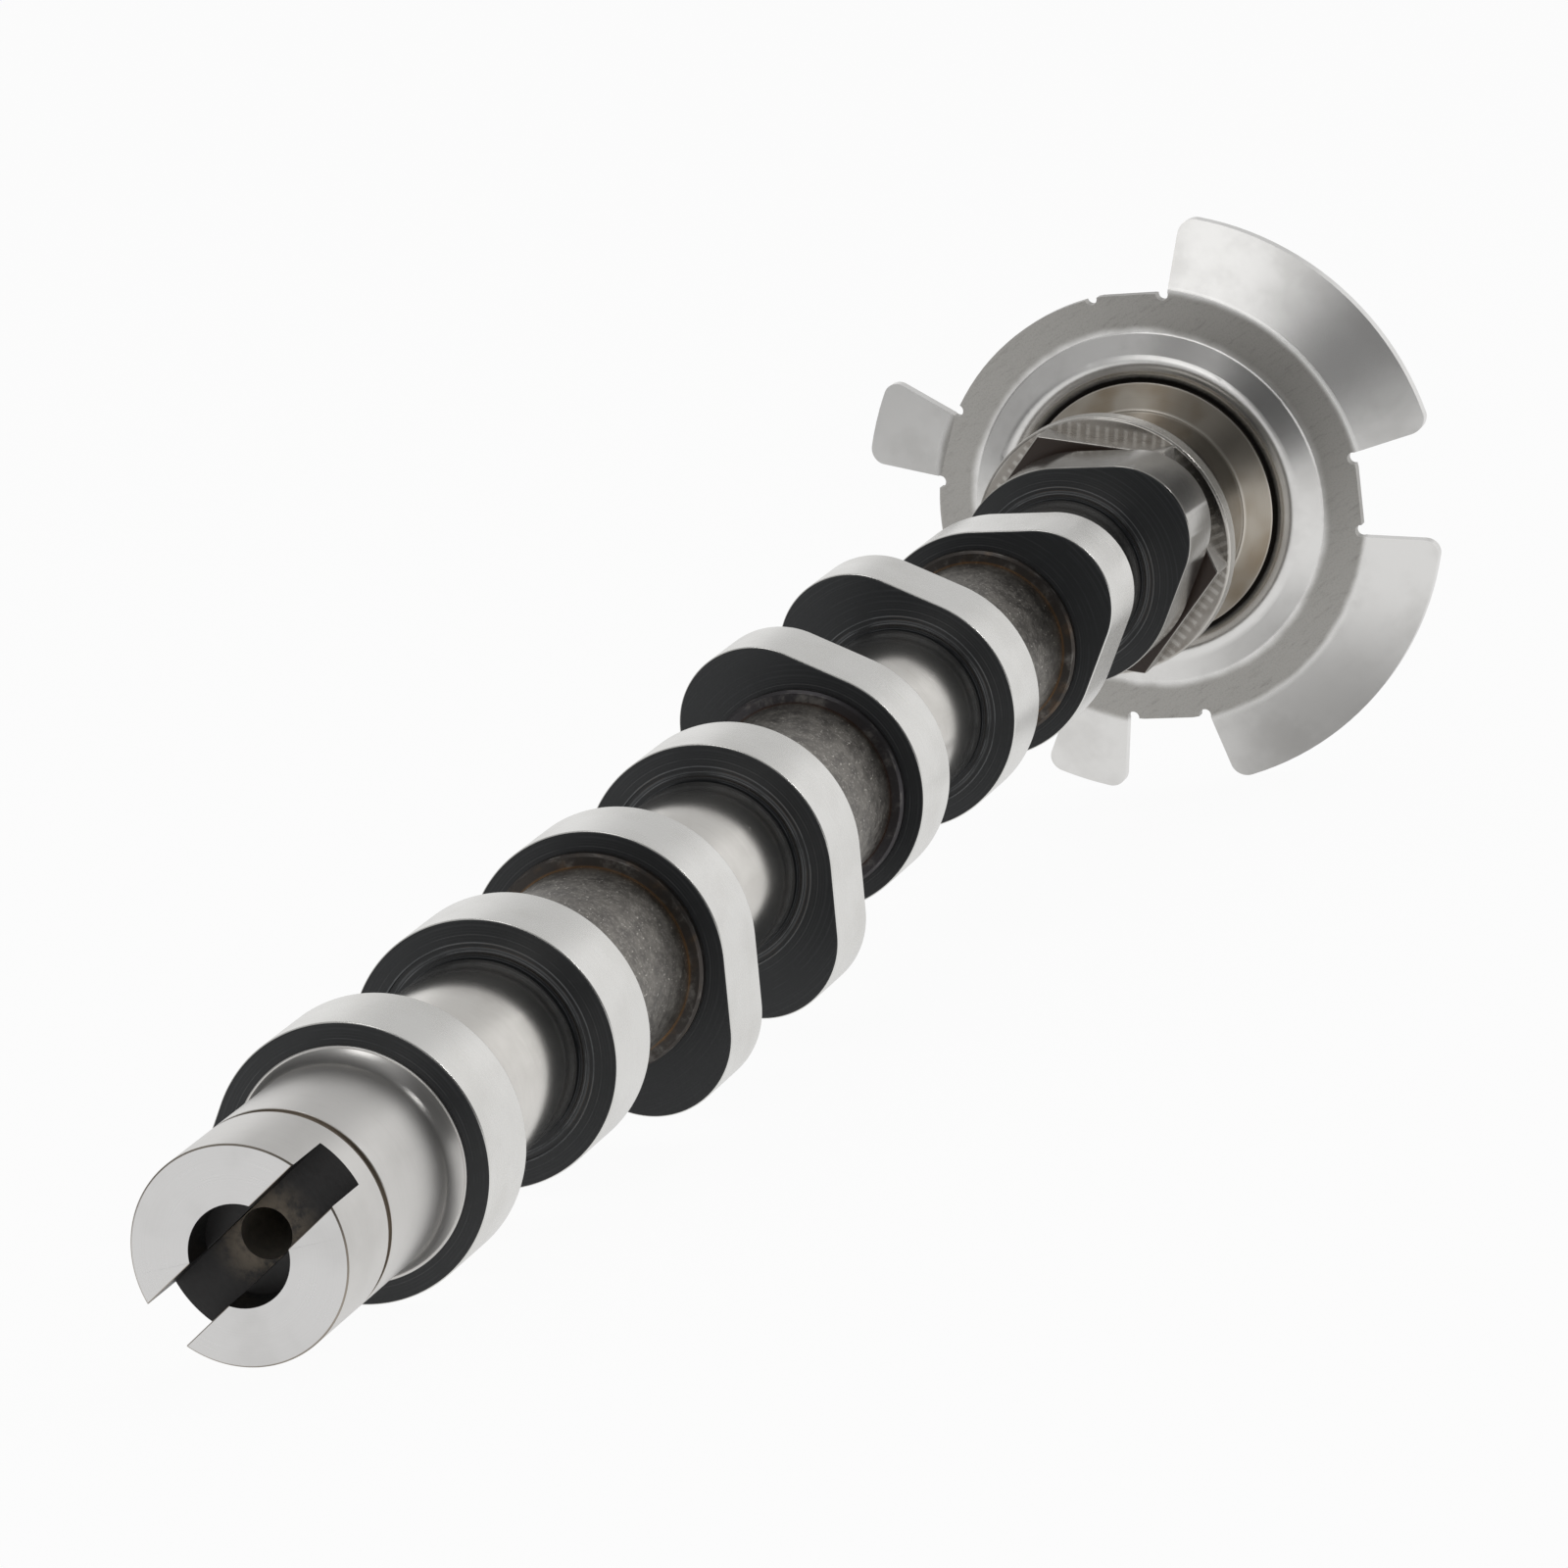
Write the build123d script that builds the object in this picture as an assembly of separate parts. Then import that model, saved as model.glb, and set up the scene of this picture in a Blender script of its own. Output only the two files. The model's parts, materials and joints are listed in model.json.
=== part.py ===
from build123d import *
import math
import os

# Assembled camshaft of a four-cylinder engine, as it lies on a table.
# A steel tube carries eight lobes, two for each cylinder. A slotted end and a
# hexagonal drive end are pressed into the tube, and a trigger wheel of sheet
# steel sits on the drive end.
#
# Every sub-part is first drawn about the X axis, which is the shaft's axis.
# Stations run along it from the face of the slotted end. Angles turn about it,
# in the right-hand sense, from the nose of the second cylinder's lobes.
# Lengths are in millimetres and angles in degrees.

# Lobes
CYLINDERS = 4
LOBES_PER_CYLINDER = 2
CYLINDER_PITCH = 90.0
FIRST_LOBE_STATION = 36.2
LOBE_SPACING = 46.65
LOBE_WIDTH = 13.0
BASE_CIRCLE_DIAMETER = 35.0
LIFT = 5.1
NOSE_RADIUS = 11.6
LOBE_EDGE_CHAMFER = 0.3
NOSE_ANGLES = (90.0, 0.0, 180.0, 270.0)
COLLAR_DIAMETER = 29.6
COLLAR_HEIGHT = 1.3
COLLAR_CHAMFER = 0.4
RELIEF_DIAMETER = 28.6
RELIEF_DEPTH = 0.25

# Tube
TUBE_DIAMETER = 26.0
TUBE_BORE_DIAMETER = 16.0
JOURNAL_DIAMETER = 25.0
UNDERCUT_WIDTH = 0.8
UNDERCUT_DEPTH = 0.25

# Slotted end
END_DIAMETER = 26.7
END_CHAMFER = 0.2
GROOVE_STATION = 13.7
GROOVE_WIDTH = 1.3
GROOVE_DEPTH = 0.4
FLARE_DIAMETER = 29.4
FLARE_LENGTH = 3.7
SLOT_WIDTH = 6.5
SLOT_DEPTH = 8.8
SLOT_ANGLE = 82.4
COUNTERBORE_DIAMETER = 12.5
COUNTERBORE_DEPTH = 5.5
OIL_BORE_DIAMETER = 6.3
END_SPIGOT_LENGTH = 22.0
SPIGOT_CHAMFER = 1.0

# Drive end
HEXAGON_GAP = 2.95
HEXAGON_SIDES = 6
HEXAGON_FLATS = 36.0
HEXAGON_LENGTH = 6.6
HEXAGON_CORNER_ANGLE = 12.1
THRUST_COLLAR_DIAMETER = 42.0
THRUST_COLLAR_WIDTH = 3.6
THRUST_COLLAR_CHAMFER = 0.5
FRONT_JOURNAL_DIAMETER = 34.0
FRONT_JOURNAL_LENGTH = 20.8
SHOULDER_LENGTH = 3.0
FLANGE_DIAMETER = 42.2
FLANGE_EDGE = 0.8
FLANGE_CHAMFER = 0.25
DRIVE_SPIGOT_LENGTH = 24.0
WHEEL_SEAT_DIAMETER = 30.0
NOSE_DIAMETER = 28.0
NOSE_LENGTH = 12.0
NOSE_CHAMFER = 1.0
BOLT_HOLE_DIAMETER = 10.2
BOLT_HOLE_DEPTH = 32.0
BOLT_HOLE_COUNTERSINK = 1.2
DOWEL_DIAMETER = 5.0
DOWEL_TIP_DIAMETER = 4.0
DOWEL_LENGTH = 12.0
DOWEL_DEPTH = 8.0
DOWEL_RADIUS = 10.2
DOWEL_ANGLE = 190.0
DOWEL_CHAMFER = 0.5

# Trigger wheel
SHEET_THICKNESS = 2.0
BEAD_INNER_RADIUS = 21.9
BEAD_CROWN_RADIUS = 23.8
BEAD_OUTER_RADIUS = 29.0
BEAD_HEIGHT = 2.65
RIM_RADIUS = 35.4
RIM_SETBACK = 0.85
WEB_BEND = 0.8
CROWN_BEND = 3.0
CREASE_BEND = 0.8
TAB_BEND = 3.0
WIDE_TAB_RADIUS = 47.6
WIDE_TAB_SLOPE = 20.0
WIDE_TAB_BEND_RADIUS = 36.3
WIDE_TABS = ((-137.8, -70.6), (-48.2, 20.3))
NARROW_TAB_RADIUS = 48.4
NARROW_TAB_SLOPE = 13.0
NARROW_TABS = ((43.0, 59.3), (132.7, 149.9))
TAB_CORNER_RADIUS = 2.5
NOTCH_RADIUS = 1.0
NOTCH_OFFSET = 0.9
SPARE_NOTCH_ANGLE = -158.7
RIM_FLATS = ((-155.8, -141.7), (-66.2, -51.6), (25.2, 38.6))

# Sizes that follow from those above
BASE_RADIUS = BASE_CIRCLE_DIAMETER / 2
NOSE_OFFSET = BASE_RADIUS + LIFT - NOSE_RADIUS
TUBE_RADIUS = TUBE_DIAMETER / 2
SPIGOT_RADIUS = TUBE_BORE_DIAMETER / 2
END_RADIUS = END_DIAMETER / 2
LOBES = CYLINDERS * LOBES_PER_CYLINDER
LAST_PAIR_STATION = FIRST_LOBE_STATION + (CYLINDERS - 1) * CYLINDER_PITCH
LAST_LOBE_STATION = LAST_PAIR_STATION + (LOBES_PER_CYLINDER - 1) * LOBE_SPACING
HEXAGON_STATION = LAST_LOBE_STATION + LOBE_WIDTH + HEXAGON_GAP
HEXAGON_END = HEXAGON_STATION + HEXAGON_LENGTH
THRUST_COLLAR_END = HEXAGON_END + THRUST_COLLAR_WIDTH
FRONT_JOURNAL_END = THRUST_COLLAR_END + FRONT_JOURNAL_LENGTH
SHOULDER_END = FRONT_JOURNAL_END + SHOULDER_LENGTH
WHEEL_SEAT = SHOULDER_END + FLANGE_EDGE
NOSE_END = WHEEL_SEAT + NOSE_LENGTH
RIM_STATION = WHEEL_SEAT + RIM_SETBACK
OVERSHOOT = SHEET_THICKNESS
POSE_ROUNDS = 5


def lobe_station(number):
    """Station of the face of a lobe that looks towards the slotted end."""
    cylinder, place = divmod(number - 1, LOBES_PER_CYLINDER)
    return FIRST_LOBE_STATION + cylinder * CYLINDER_PITCH + place * LOBE_SPACING


def turned(points):
    """Solid of revolution about the shaft's axis, from (station, radius) points."""
    outline = make_face(Polyline(*points, close=True))
    return revolve(outline, Axis.X, 360)


def rod(start, end, radius):
    """Plain cylinder on the shaft's axis between two stations."""
    return Pos(start, 0, 0) * extrude(Plane.YZ * Circle(radius), end - start)


def polar(radius, angle):
    """Point at a radius and an angle, in the plane across the shaft."""
    return (radius * math.cos(math.radians(angle)), radius * math.sin(math.radians(angle)))


def make_shaft_tube():
    """Tube from the first lobe to the hexagon, ground to size between the lobes of a pair."""
    tube = rod(FIRST_LOBE_STATION, HEXAGON_STATION, TUBE_RADIUS)
    journal_radius = JOURNAL_DIAMETER / 2
    undercut_radius = journal_radius - UNDERCUT_DEPTH
    for number in range(1, LOBES + 1, LOBES_PER_CYLINDER):
        start = lobe_station(number) + LOBE_WIDTH
        end = lobe_station(number + 1)
        tube -= turned((
            (start, TUBE_RADIUS + OVERSHOOT),
            (start, undercut_radius),
            (start + UNDERCUT_WIDTH, undercut_radius),
            (start + UNDERCUT_WIDTH, journal_radius),
            (end - UNDERCUT_WIDTH, journal_radius),
            (end - UNDERCUT_WIDTH, undercut_radius),
            (end, undercut_radius),
            (end, TUBE_RADIUS + OVERSHOOT),
        ))
    return tube - rod(FIRST_LOBE_STATION - OVERSHOOT, HEXAGON_STATION + OVERSHOOT, SPIGOT_RADIUS)


def lobe_outline():
    """Cam outline: base circle and nose circle joined by their common tangents."""
    turn = math.degrees(math.acos((BASE_RADIUS - NOSE_RADIUS) / NOSE_OFFSET))
    base = CenterArc((0, 0), BASE_RADIUS, turn, 360 - 2 * turn)
    nose = CenterArc((NOSE_OFFSET, 0), NOSE_RADIUS, -turn, 2 * turn)
    rising = Line(base @ 1, nose @ 0)
    falling = Line(nose @ 1, base @ 0)
    return make_face([base, rising, nose, falling])


def make_lobe(number):
    """One lobe, with a raised collar on the rough tube's side and a turned relief on the other."""
    blank = extrude(Plane.YZ * lobe_outline(), LOBE_WIDTH)
    rims = blank.edges().filter_by_position(Axis.X, 0, 0) + blank.edges().filter_by_position(
        Axis.X, LOBE_WIDTH, LOBE_WIDTH
    )
    lobe = chamfer(rims, LOBE_EDGE_CHAMFER)
    lobe -= rod(-OVERSHOOT, RELIEF_DEPTH, RELIEF_DIAMETER / 2)
    if number > 1:
        collar = rod(LOBE_WIDTH, LOBE_WIDTH + COLLAR_HEIGHT, COLLAR_DIAMETER / 2)
        edge = collar.edges().filter_by_position(
            Axis.X, LOBE_WIDTH + COLLAR_HEIGHT, LOBE_WIDTH + COLLAR_HEIGHT
        )
        lobe += chamfer(edge, COLLAR_CHAMFER)
    lobe -= rod(-OVERSHOOT, LOBE_WIDTH + OVERSHOOT, TUBE_RADIUS)
    if number % LOBES_PER_CYLINDER == 1:
        lobe = Pos(LOBE_WIDTH, 0, 0) * mirror(lobe, Plane.YZ)
    cylinder = (number - 1) // LOBES_PER_CYLINDER
    return Pos(lobe_station(number), 0, 0) * Rot(X=NOSE_ANGLES[cylinder]) * lobe


def make_slotted_end():
    """Driving dog with its slot, the journal behind it, and a flared shoulder at lobe 1."""
    flare_start = FIRST_LOBE_STATION - FLARE_LENGTH
    rise = (FLARE_DIAMETER - END_DIAMETER) / 2
    flare_radius = (FLARE_LENGTH ** 2 + rise ** 2) / (2 * rise)
    flare_angle = math.degrees(math.asin(FLARE_LENGTH / flare_radius))
    groove_start = GROOVE_STATION - GROOVE_WIDTH / 2
    groove_end = GROOVE_STATION + GROOVE_WIDTH / 2
    spigot_end = FIRST_LOBE_STATION + END_SPIGOT_LENGTH
    front = Polyline(
        (0, 0),
        (0, END_RADIUS - END_CHAMFER),
        (END_CHAMFER, END_RADIUS),
        (groove_start, END_RADIUS),
        (groove_start, END_RADIUS - GROOVE_DEPTH),
        (groove_end, END_RADIUS - GROOVE_DEPTH),
        (groove_end, END_RADIUS),
        (flare_start, END_RADIUS),
    )
    flare = CenterArc((flare_start, END_RADIUS + flare_radius), flare_radius, -90, flare_angle)
    back = Polyline(
        flare @ 1,
        (FIRST_LOBE_STATION, SPIGOT_RADIUS),
        (spigot_end - SPIGOT_CHAMFER, SPIGOT_RADIUS),
        (spigot_end, SPIGOT_RADIUS - SPIGOT_CHAMFER),
        (spigot_end, 0),
        (0, 0),
    )
    end = revolve(make_face([front, flare, back]), Axis.X, 360)
    end -= rod(-OVERSHOOT, COUNTERBORE_DEPTH, COUNTERBORE_DIAMETER / 2)
    end -= rod(-OVERSHOOT, spigot_end + OVERSHOOT, OIL_BORE_DIAMETER / 2)
    slot = Box(SLOT_DEPTH, 2 * END_DIAMETER, SLOT_WIDTH, align=(Align.MIN, Align.CENTER, Align.CENTER))
    return end - Rot(X=SLOT_ANGLE) * slot


def make_drive_end():
    """Hexagon, thrust collar, front journal and flange, with the nose that carries the wheel."""
    spigot_start = HEXAGON_STATION - DRIVE_SPIGOT_LENGTH
    bar = turned((
        (spigot_start, 0),
        (spigot_start, SPIGOT_RADIUS - SPIGOT_CHAMFER),
        (spigot_start + SPIGOT_CHAMFER, SPIGOT_RADIUS),
        (HEXAGON_END, SPIGOT_RADIUS),
        (HEXAGON_END, THRUST_COLLAR_DIAMETER / 2 - THRUST_COLLAR_CHAMFER),
        (HEXAGON_END + THRUST_COLLAR_CHAMFER, THRUST_COLLAR_DIAMETER / 2),
        (THRUST_COLLAR_END, THRUST_COLLAR_DIAMETER / 2),
        (THRUST_COLLAR_END, FRONT_JOURNAL_DIAMETER / 2 - UNDERCUT_DEPTH),
        (THRUST_COLLAR_END + UNDERCUT_WIDTH, FRONT_JOURNAL_DIAMETER / 2 - UNDERCUT_DEPTH),
        (THRUST_COLLAR_END + UNDERCUT_WIDTH, FRONT_JOURNAL_DIAMETER / 2),
        (FRONT_JOURNAL_END, FRONT_JOURNAL_DIAMETER / 2),
        (SHOULDER_END - FLANGE_CHAMFER, FLANGE_DIAMETER / 2 - FLANGE_CHAMFER),
        (SHOULDER_END, FLANGE_DIAMETER / 2),
        (WHEEL_SEAT, FLANGE_DIAMETER / 2),
        (WHEEL_SEAT, WHEEL_SEAT_DIAMETER / 2),
        (WHEEL_SEAT + SHEET_THICKNESS, WHEEL_SEAT_DIAMETER / 2),
        (WHEEL_SEAT + SHEET_THICKNESS, NOSE_DIAMETER / 2),
        (NOSE_END - NOSE_CHAMFER, NOSE_DIAMETER / 2),
        (NOSE_END, NOSE_DIAMETER / 2 - NOSE_CHAMFER),
        (NOSE_END, 0),
    ))
    corner_radius = HEXAGON_FLATS / 2 / math.cos(math.pi / HEXAGON_SIDES)
    hexagon = extrude(Plane.YZ * RegularPolygon(corner_radius, HEXAGON_SIDES), HEXAGON_LENGTH)
    end = bar + Pos(HEXAGON_STATION, 0, 0) * Rot(X=HEXAGON_CORNER_ANGLE) * hexagon
    end -= rod(NOSE_END - BOLT_HOLE_DEPTH, NOSE_END + OVERSHOOT, BOLT_HOLE_DIAMETER / 2)
    mouth_radius = BOLT_HOLE_DIAMETER / 2 + BOLT_HOLE_COUNTERSINK
    end -= turned((
        (NOSE_END - BOLT_HOLE_COUNTERSINK, 0),
        (NOSE_END - BOLT_HOLE_COUNTERSINK, BOLT_HOLE_DIAMETER / 2),
        (NOSE_END, mouth_radius),
        (NOSE_END, 0),
    ))
    y, z = polar(DOWEL_RADIUS, DOWEL_ANGLE)
    return end - Pos(0, y, z) * rod(NOSE_END - DOWEL_DEPTH, NOSE_END + OVERSHOOT, DOWEL_DIAMETER / 2)


def make_dowel_pin():
    """Stepped pin in the nose's face: its thin end stands out and clocks the drive gear."""
    start = NOSE_END - DOWEL_DEPTH
    end = start + DOWEL_LENGTH
    y, z = polar(DOWEL_RADIUS, DOWEL_ANGLE)
    return Pos(0, y, z) * turned((
        (start, 0),
        (start, DOWEL_DIAMETER / 2 - DOWEL_CHAMFER),
        (start + DOWEL_CHAMFER, DOWEL_DIAMETER / 2),
        (NOSE_END, DOWEL_DIAMETER / 2),
        (NOSE_END, DOWEL_TIP_DIAMETER / 2),
        (end - DOWEL_CHAMFER, DOWEL_TIP_DIAMETER / 2),
        (end, DOWEL_TIP_DIAMETER / 2 - DOWEL_CHAMFER),
        (end, 0),
    ))


def offset_path(points, distance):
    """Copy of an open path moved to its right by a distance, with mitred corners."""
    normals = []
    for (x0, y0), (x1, y1) in zip(points, points[1:]):
        length = math.hypot(x1 - x0, y1 - y0)
        normals.append(((y1 - y0) / length, (x0 - x1) / length))
    moved = []
    for index, (x, y) in enumerate(points):
        before = normals[max(index - 1, 0)]
        after = normals[min(index, len(normals) - 1)]
        scale = distance / (1 + before[0] * after[0] + before[1] * after[1])
        moved.append((x + (before[0] + after[0]) * scale, y + (before[1] + after[1]) * scale))
    return moved


def sheet_section(points, bends):
    """Section of bent sheet whose front face follows the points.

    Each bend is given with its sign: positive where the front is the inside of the bend.
    """
    front = FilletPolyline(*points, radius=[abs(bend) for bend in bends])
    back_points = offset_path(points, SHEET_THICKNESS)
    back_radii = []
    for bend in bends:
        back_radii.append(bend + SHEET_THICKNESS if bend > 0 else -bend - SHEET_THICKNESS)
    back = FilletPolyline(*back_points, radius=back_radii)
    return make_face([front, Line(front @ 1, back @ 1), back, Line(back @ 0, front @ 0)])


def wheel_sector(radius, start, end):
    """Outline of one tab, seen along the shaft, with radial sides and rounded corners."""
    root = BEAD_OUTER_RADIUS
    tip = CenterArc((0, 0), radius, start, end - start)
    sides = [
        Line(polar(root, start), tip @ 0),
        tip,
        Line(tip @ 1, polar(root, end)),
        Line(polar(root, end), polar(root, start)),
    ]
    outline = make_face(sides)
    corners = outline.vertices().filter_by(lambda v: math.hypot(v.X, v.Y) > RIM_RADIUS)
    return fillet(corners, TAB_CORNER_RADIUS)


def chord_cut(start, end):
    """Tool that takes off the rim outside the straight line between two angles."""
    middle = (start + end) / 2
    distance = RIM_RADIUS * math.cos(math.radians((end - start) / 2))
    tool = Rectangle(RIM_RADIUS, 2 * RIM_RADIUS, align=(Align.MIN, Align.CENTER))
    return Rot(Z=middle) * Pos(distance, 0, 0) * tool


def prism(outline):
    """Outline across the shaft, drawn out far enough to cut through the whole wheel."""
    return Pos(WHEEL_SEAT, 0, 0) * extrude(Plane.YZ * outline, WIDE_TAB_RADIUS, both=True)


def make_narrow_tab(start, end):
    """Narrow tab, bent back along a straight line at the rim."""
    bend_line = RIM_RADIUS * math.cos(math.radians((end - start) / 2))
    reach = NARROW_TAB_RADIUS + OVERSHOOT
    tip_station = RIM_STATION + (reach - bend_line) * math.tan(math.radians(NARROW_TAB_SLOPE))
    path = [(RIM_STATION, BEAD_OUTER_RADIUS + CREASE_BEND), (RIM_STATION, bend_line), (tip_station, reach)]
    section = make_face(Polyline(*path, *reversed(offset_path(path, SHEET_THICKNESS)), close=True))
    plate = extrude(section, NARROW_TAB_RADIUS / 2, both=True)
    plate = Rot(X=(start + end) / 2) * plate
    return plate & prism(wheel_sector(NARROW_TAB_RADIUS, start, end))


def make_trigger_wheel():
    """Pressed sheet wheel: web on the nose, stiffening bead, flat rim and four bent tabs."""
    reach = WIDE_TAB_RADIUS + OVERSHOOT
    slope = math.tan(math.radians(WIDE_TAB_SLOPE))
    path = [
        (WHEEL_SEAT, WHEEL_SEAT_DIAMETER / 2),
        (WHEEL_SEAT, BEAD_INNER_RADIUS),
        (RIM_STATION - BEAD_HEIGHT, BEAD_CROWN_RADIUS),
        (RIM_STATION, BEAD_OUTER_RADIUS),
        (RIM_STATION, WIDE_TAB_BEND_RADIUS),
        (RIM_STATION + (reach - WIDE_TAB_BEND_RADIUS) * slope, reach),
    ]
    pressing = revolve(sheet_section(path, (WEB_BEND, -CROWN_BEND, CREASE_BEND, -TAB_BEND)), Axis.X, 360)
    outline = Circle(RIM_RADIUS)
    for start, end in RIM_FLATS + NARROW_TABS:
        outline -= chord_cut(start, end)
    for start, end in WIDE_TABS:
        outline += wheel_sector(WIDE_TAB_RADIUS, start, end)
    wheel = pressing & prism(outline)
    for start, end in NARROW_TABS:
        wheel += make_narrow_tab(start, end)
    turn = math.degrees(NOTCH_OFFSET / RIM_RADIUS)
    notch_angles = [SPARE_NOTCH_ANGLE]
    for start, end in WIDE_TABS + NARROW_TABS:
        notch_angles += [start - turn, end + turn]
    for angle in notch_angles:
        wheel -= prism(Pos(*polar(RIM_RADIUS, angle)) * Circle(NOTCH_RADIUS))
    return wheel


def tab_corner(radius, slope, bend_radius, side_angle, inward):
    """Station of a tab's tip, and the centre of its rounded corner across the shaft."""
    station = RIM_STATION + (radius - bend_radius) * math.tan(math.radians(slope))
    centre_radius = radius - TAB_CORNER_RADIUS
    turn = math.degrees(math.asin(TAB_CORNER_RADIUS / centre_radius))
    return station, polar(centre_radius, side_angle + inward * turn)


def resting_pose():
    """Roll and tilt of the shaft as it lies on lobe 1 and on two neighbouring tab corners."""
    start, end = NARROW_TABS[0]
    bend_line = RIM_RADIUS * math.cos(math.radians((end - start) / 2))
    wide_station, wide = tab_corner(
        WIDE_TAB_RADIUS, WIDE_TAB_SLOPE, WIDE_TAB_BEND_RADIUS, WIDE_TABS[1][1], -1
    )
    narrow_station, narrow = tab_corner(NARROW_TAB_RADIUS, NARROW_TAB_SLOPE, bend_line, start, 1)
    across = (narrow[0] - wide[0], narrow[1] - wide[1])
    width = math.hypot(*across)
    lobe_edge_station = FIRST_LOBE_STATION + LOBE_EDGE_CHAMFER
    rise = 0.0
    for _ in range(POSE_ROUNDS):
        lean = math.asin((narrow_station - wide_station) * rise / width)
        down = math.atan2(across[1], across[0]) - math.pi / 2 + lean
        drop = wide[0] * math.cos(down) + wide[1] * math.sin(down) + TAB_CORNER_RADIUS
        rise = (drop - BASE_RADIUS) / (wide_station - lobe_edge_station)
    return -90 - math.degrees(down), math.degrees(math.atan(rise))


def make_parts():
    """All sub-parts about the shaft's axis, by name."""
    parts = {"slotted_end": make_slotted_end(), "shaft_tube": make_shaft_tube()}
    for number in range(1, LOBES + 1):
        parts[f"cam_lobe_{number}"] = make_lobe(number)
    parts["drive_end"] = make_drive_end()
    parts["trigger_wheel"] = make_trigger_wheel()
    parts["dowel_pin"] = make_dowel_pin()
    return parts


def lay_down(parts):
    """Turn the parts into the pose in which the camshaft lies, with the table at height zero."""
    roll, tilt = resting_pose()
    pose = Rot(Y=-tilt) * Rot(X=roll)
    laid = {name: pose * part for name, part in parts.items()}
    box = Compound(children=[Compound([part]) for part in laid.values()]).bounding_box()
    to_table = Pos(-(box.min.X + box.max.X) / 2, -(box.min.Y + box.max.Y) / 2, -box.min.Z)
    return {name: to_table * part for name, part in laid.items()}


os.makedirs("parts", exist_ok=True)
for name, part in lay_down(make_parts()).items():
    part.label = name
    export_step(part, f"parts/{name}.step")
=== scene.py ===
"""Looks of an assembled camshaft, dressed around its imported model.

Sizes are in millimetres. Stations run along the shaft from the face of the slotted end, and angles
turn about the shaft from the noses of the second cylinder's lobes. Each piece is made in these shaft
coordinates, with the shaft along X, and is then laid down on the table by the shaft's pose.
"""

from __future__ import annotations

import json
import logging
import math
from dataclasses import dataclass
from enum import Enum
from typing import Any, Callable, Sequence

import bmesh
import bpy
from mathutils import Euler, Matrix, Vector


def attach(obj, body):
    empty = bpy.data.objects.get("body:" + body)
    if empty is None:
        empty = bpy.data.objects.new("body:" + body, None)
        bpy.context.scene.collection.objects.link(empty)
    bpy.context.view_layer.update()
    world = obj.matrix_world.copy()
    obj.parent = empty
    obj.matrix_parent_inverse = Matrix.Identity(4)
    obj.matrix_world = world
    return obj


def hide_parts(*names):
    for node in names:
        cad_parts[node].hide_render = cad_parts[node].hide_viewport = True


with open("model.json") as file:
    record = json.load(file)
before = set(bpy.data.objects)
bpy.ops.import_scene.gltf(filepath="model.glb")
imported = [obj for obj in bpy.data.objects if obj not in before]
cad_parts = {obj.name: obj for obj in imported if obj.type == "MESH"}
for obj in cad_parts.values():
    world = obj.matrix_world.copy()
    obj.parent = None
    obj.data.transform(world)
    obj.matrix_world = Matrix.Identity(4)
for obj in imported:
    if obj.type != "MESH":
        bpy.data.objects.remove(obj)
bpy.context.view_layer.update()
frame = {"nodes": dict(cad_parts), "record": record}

LOG = logging.getLogger("camshaft")
MM = 0.001
BODY = "root"
SHAFT = Vector((1.0, 0.0, 0.0))
ORIGIN = (0.0, 0.0, 0.0)
ROUND = 160  # steps of a full turn
HEXAGON_SIDES = 6
WHITE = (1.0, 1.0, 1.0, 1.0)
BARE = 1.0  # how metallic bare steel is
WELD = 1e-4  # points nearer to each other than this become one
ON_PLANE = 1e-3  # slack for a point that lies on a plane
TOUCH = 0.01  # slack for a face that ends at a limit
RIM_SLACK = 0.1  # slack for a rim's radius
SQUARE = 0.9999  # part of a face's normal along the shaft, for a face square across it
ENDWAYS = 0.9  # the same, past which a face counts as facing the end
SLANTED = 0.5  # the same, up to which a face counts as lying round the shaft

Pair = tuple[float, float]
Triple = tuple[float, float, float]
Colour = Triple


def polar(radius: float, angle: float) -> Pair:
    """Point across the shaft at a radius and an angle in degrees."""
    return radius * math.cos(math.radians(angle)), radius * math.sin(math.radians(angle))


def grey(code: str) -> Colour:
    """Turn a web colour into a linear one.

    Args:
        code: six signs, such as 8C867E.

    Returns:
        Red, green and blue from 0 to 1.
    """
    shares = [int(code[i : i + 2], 16) / 255 for i in (0, 2, 4)]
    linear = [s / 12.92 if s <= 0.04045 else ((s + 0.055) / 1.055) ** 2.4 for s in shares]
    return linear[0], linear[1], linear[2]


def edges_at(verts: Sequence[bmesh.types.BMVert]) -> list[bmesh.types.BMEdge]:
    """Edges that end at any of the vertices, each once, in the same order on every run."""
    return list(dict.fromkeys(edge for vert in verts for edge in vert.link_edges))


@dataclass(frozen=True)
class ShaftPose:
    """Where the shaft lies on the table.

    Attributes:
        matrix: takes shaft coordinates in metres to the frame's.
    """

    matrix: Matrix

    @classmethod
    def from_record(cls, record: dict[str, Any]) -> ShaftPose:
        """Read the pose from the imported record's mounts.

        Args:
            record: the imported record, with the end journal, the bolt hole and the dowel as mounts.

        Returns:
            The pose that puts stations and angles where the solids have them.
        """
        journal_middle = 23.425
        dowel_angle = 190.0
        mounts = {mount["name"]: mount for mount in record["mounts"]}
        journal = Vector(mounts["end_journal"]["pos_m"])
        axis = (Vector(mounts["bolt_hole"]["pos_m"]) - journal).normalized()
        origin = journal - axis * journal_middle * MM
        arm = Vector(mounts["dowel"]["pos_m"]) - origin
        arm = (arm - axis * arm.dot(axis)).normalized()
        across = Matrix.Rotation(-math.radians(dowel_angle), 3, axis) @ arm
        columns = Matrix((axis, across, axis.cross(across))).transposed()
        return cls(Matrix.Translation(origin) @ columns.to_4x4())


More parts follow.
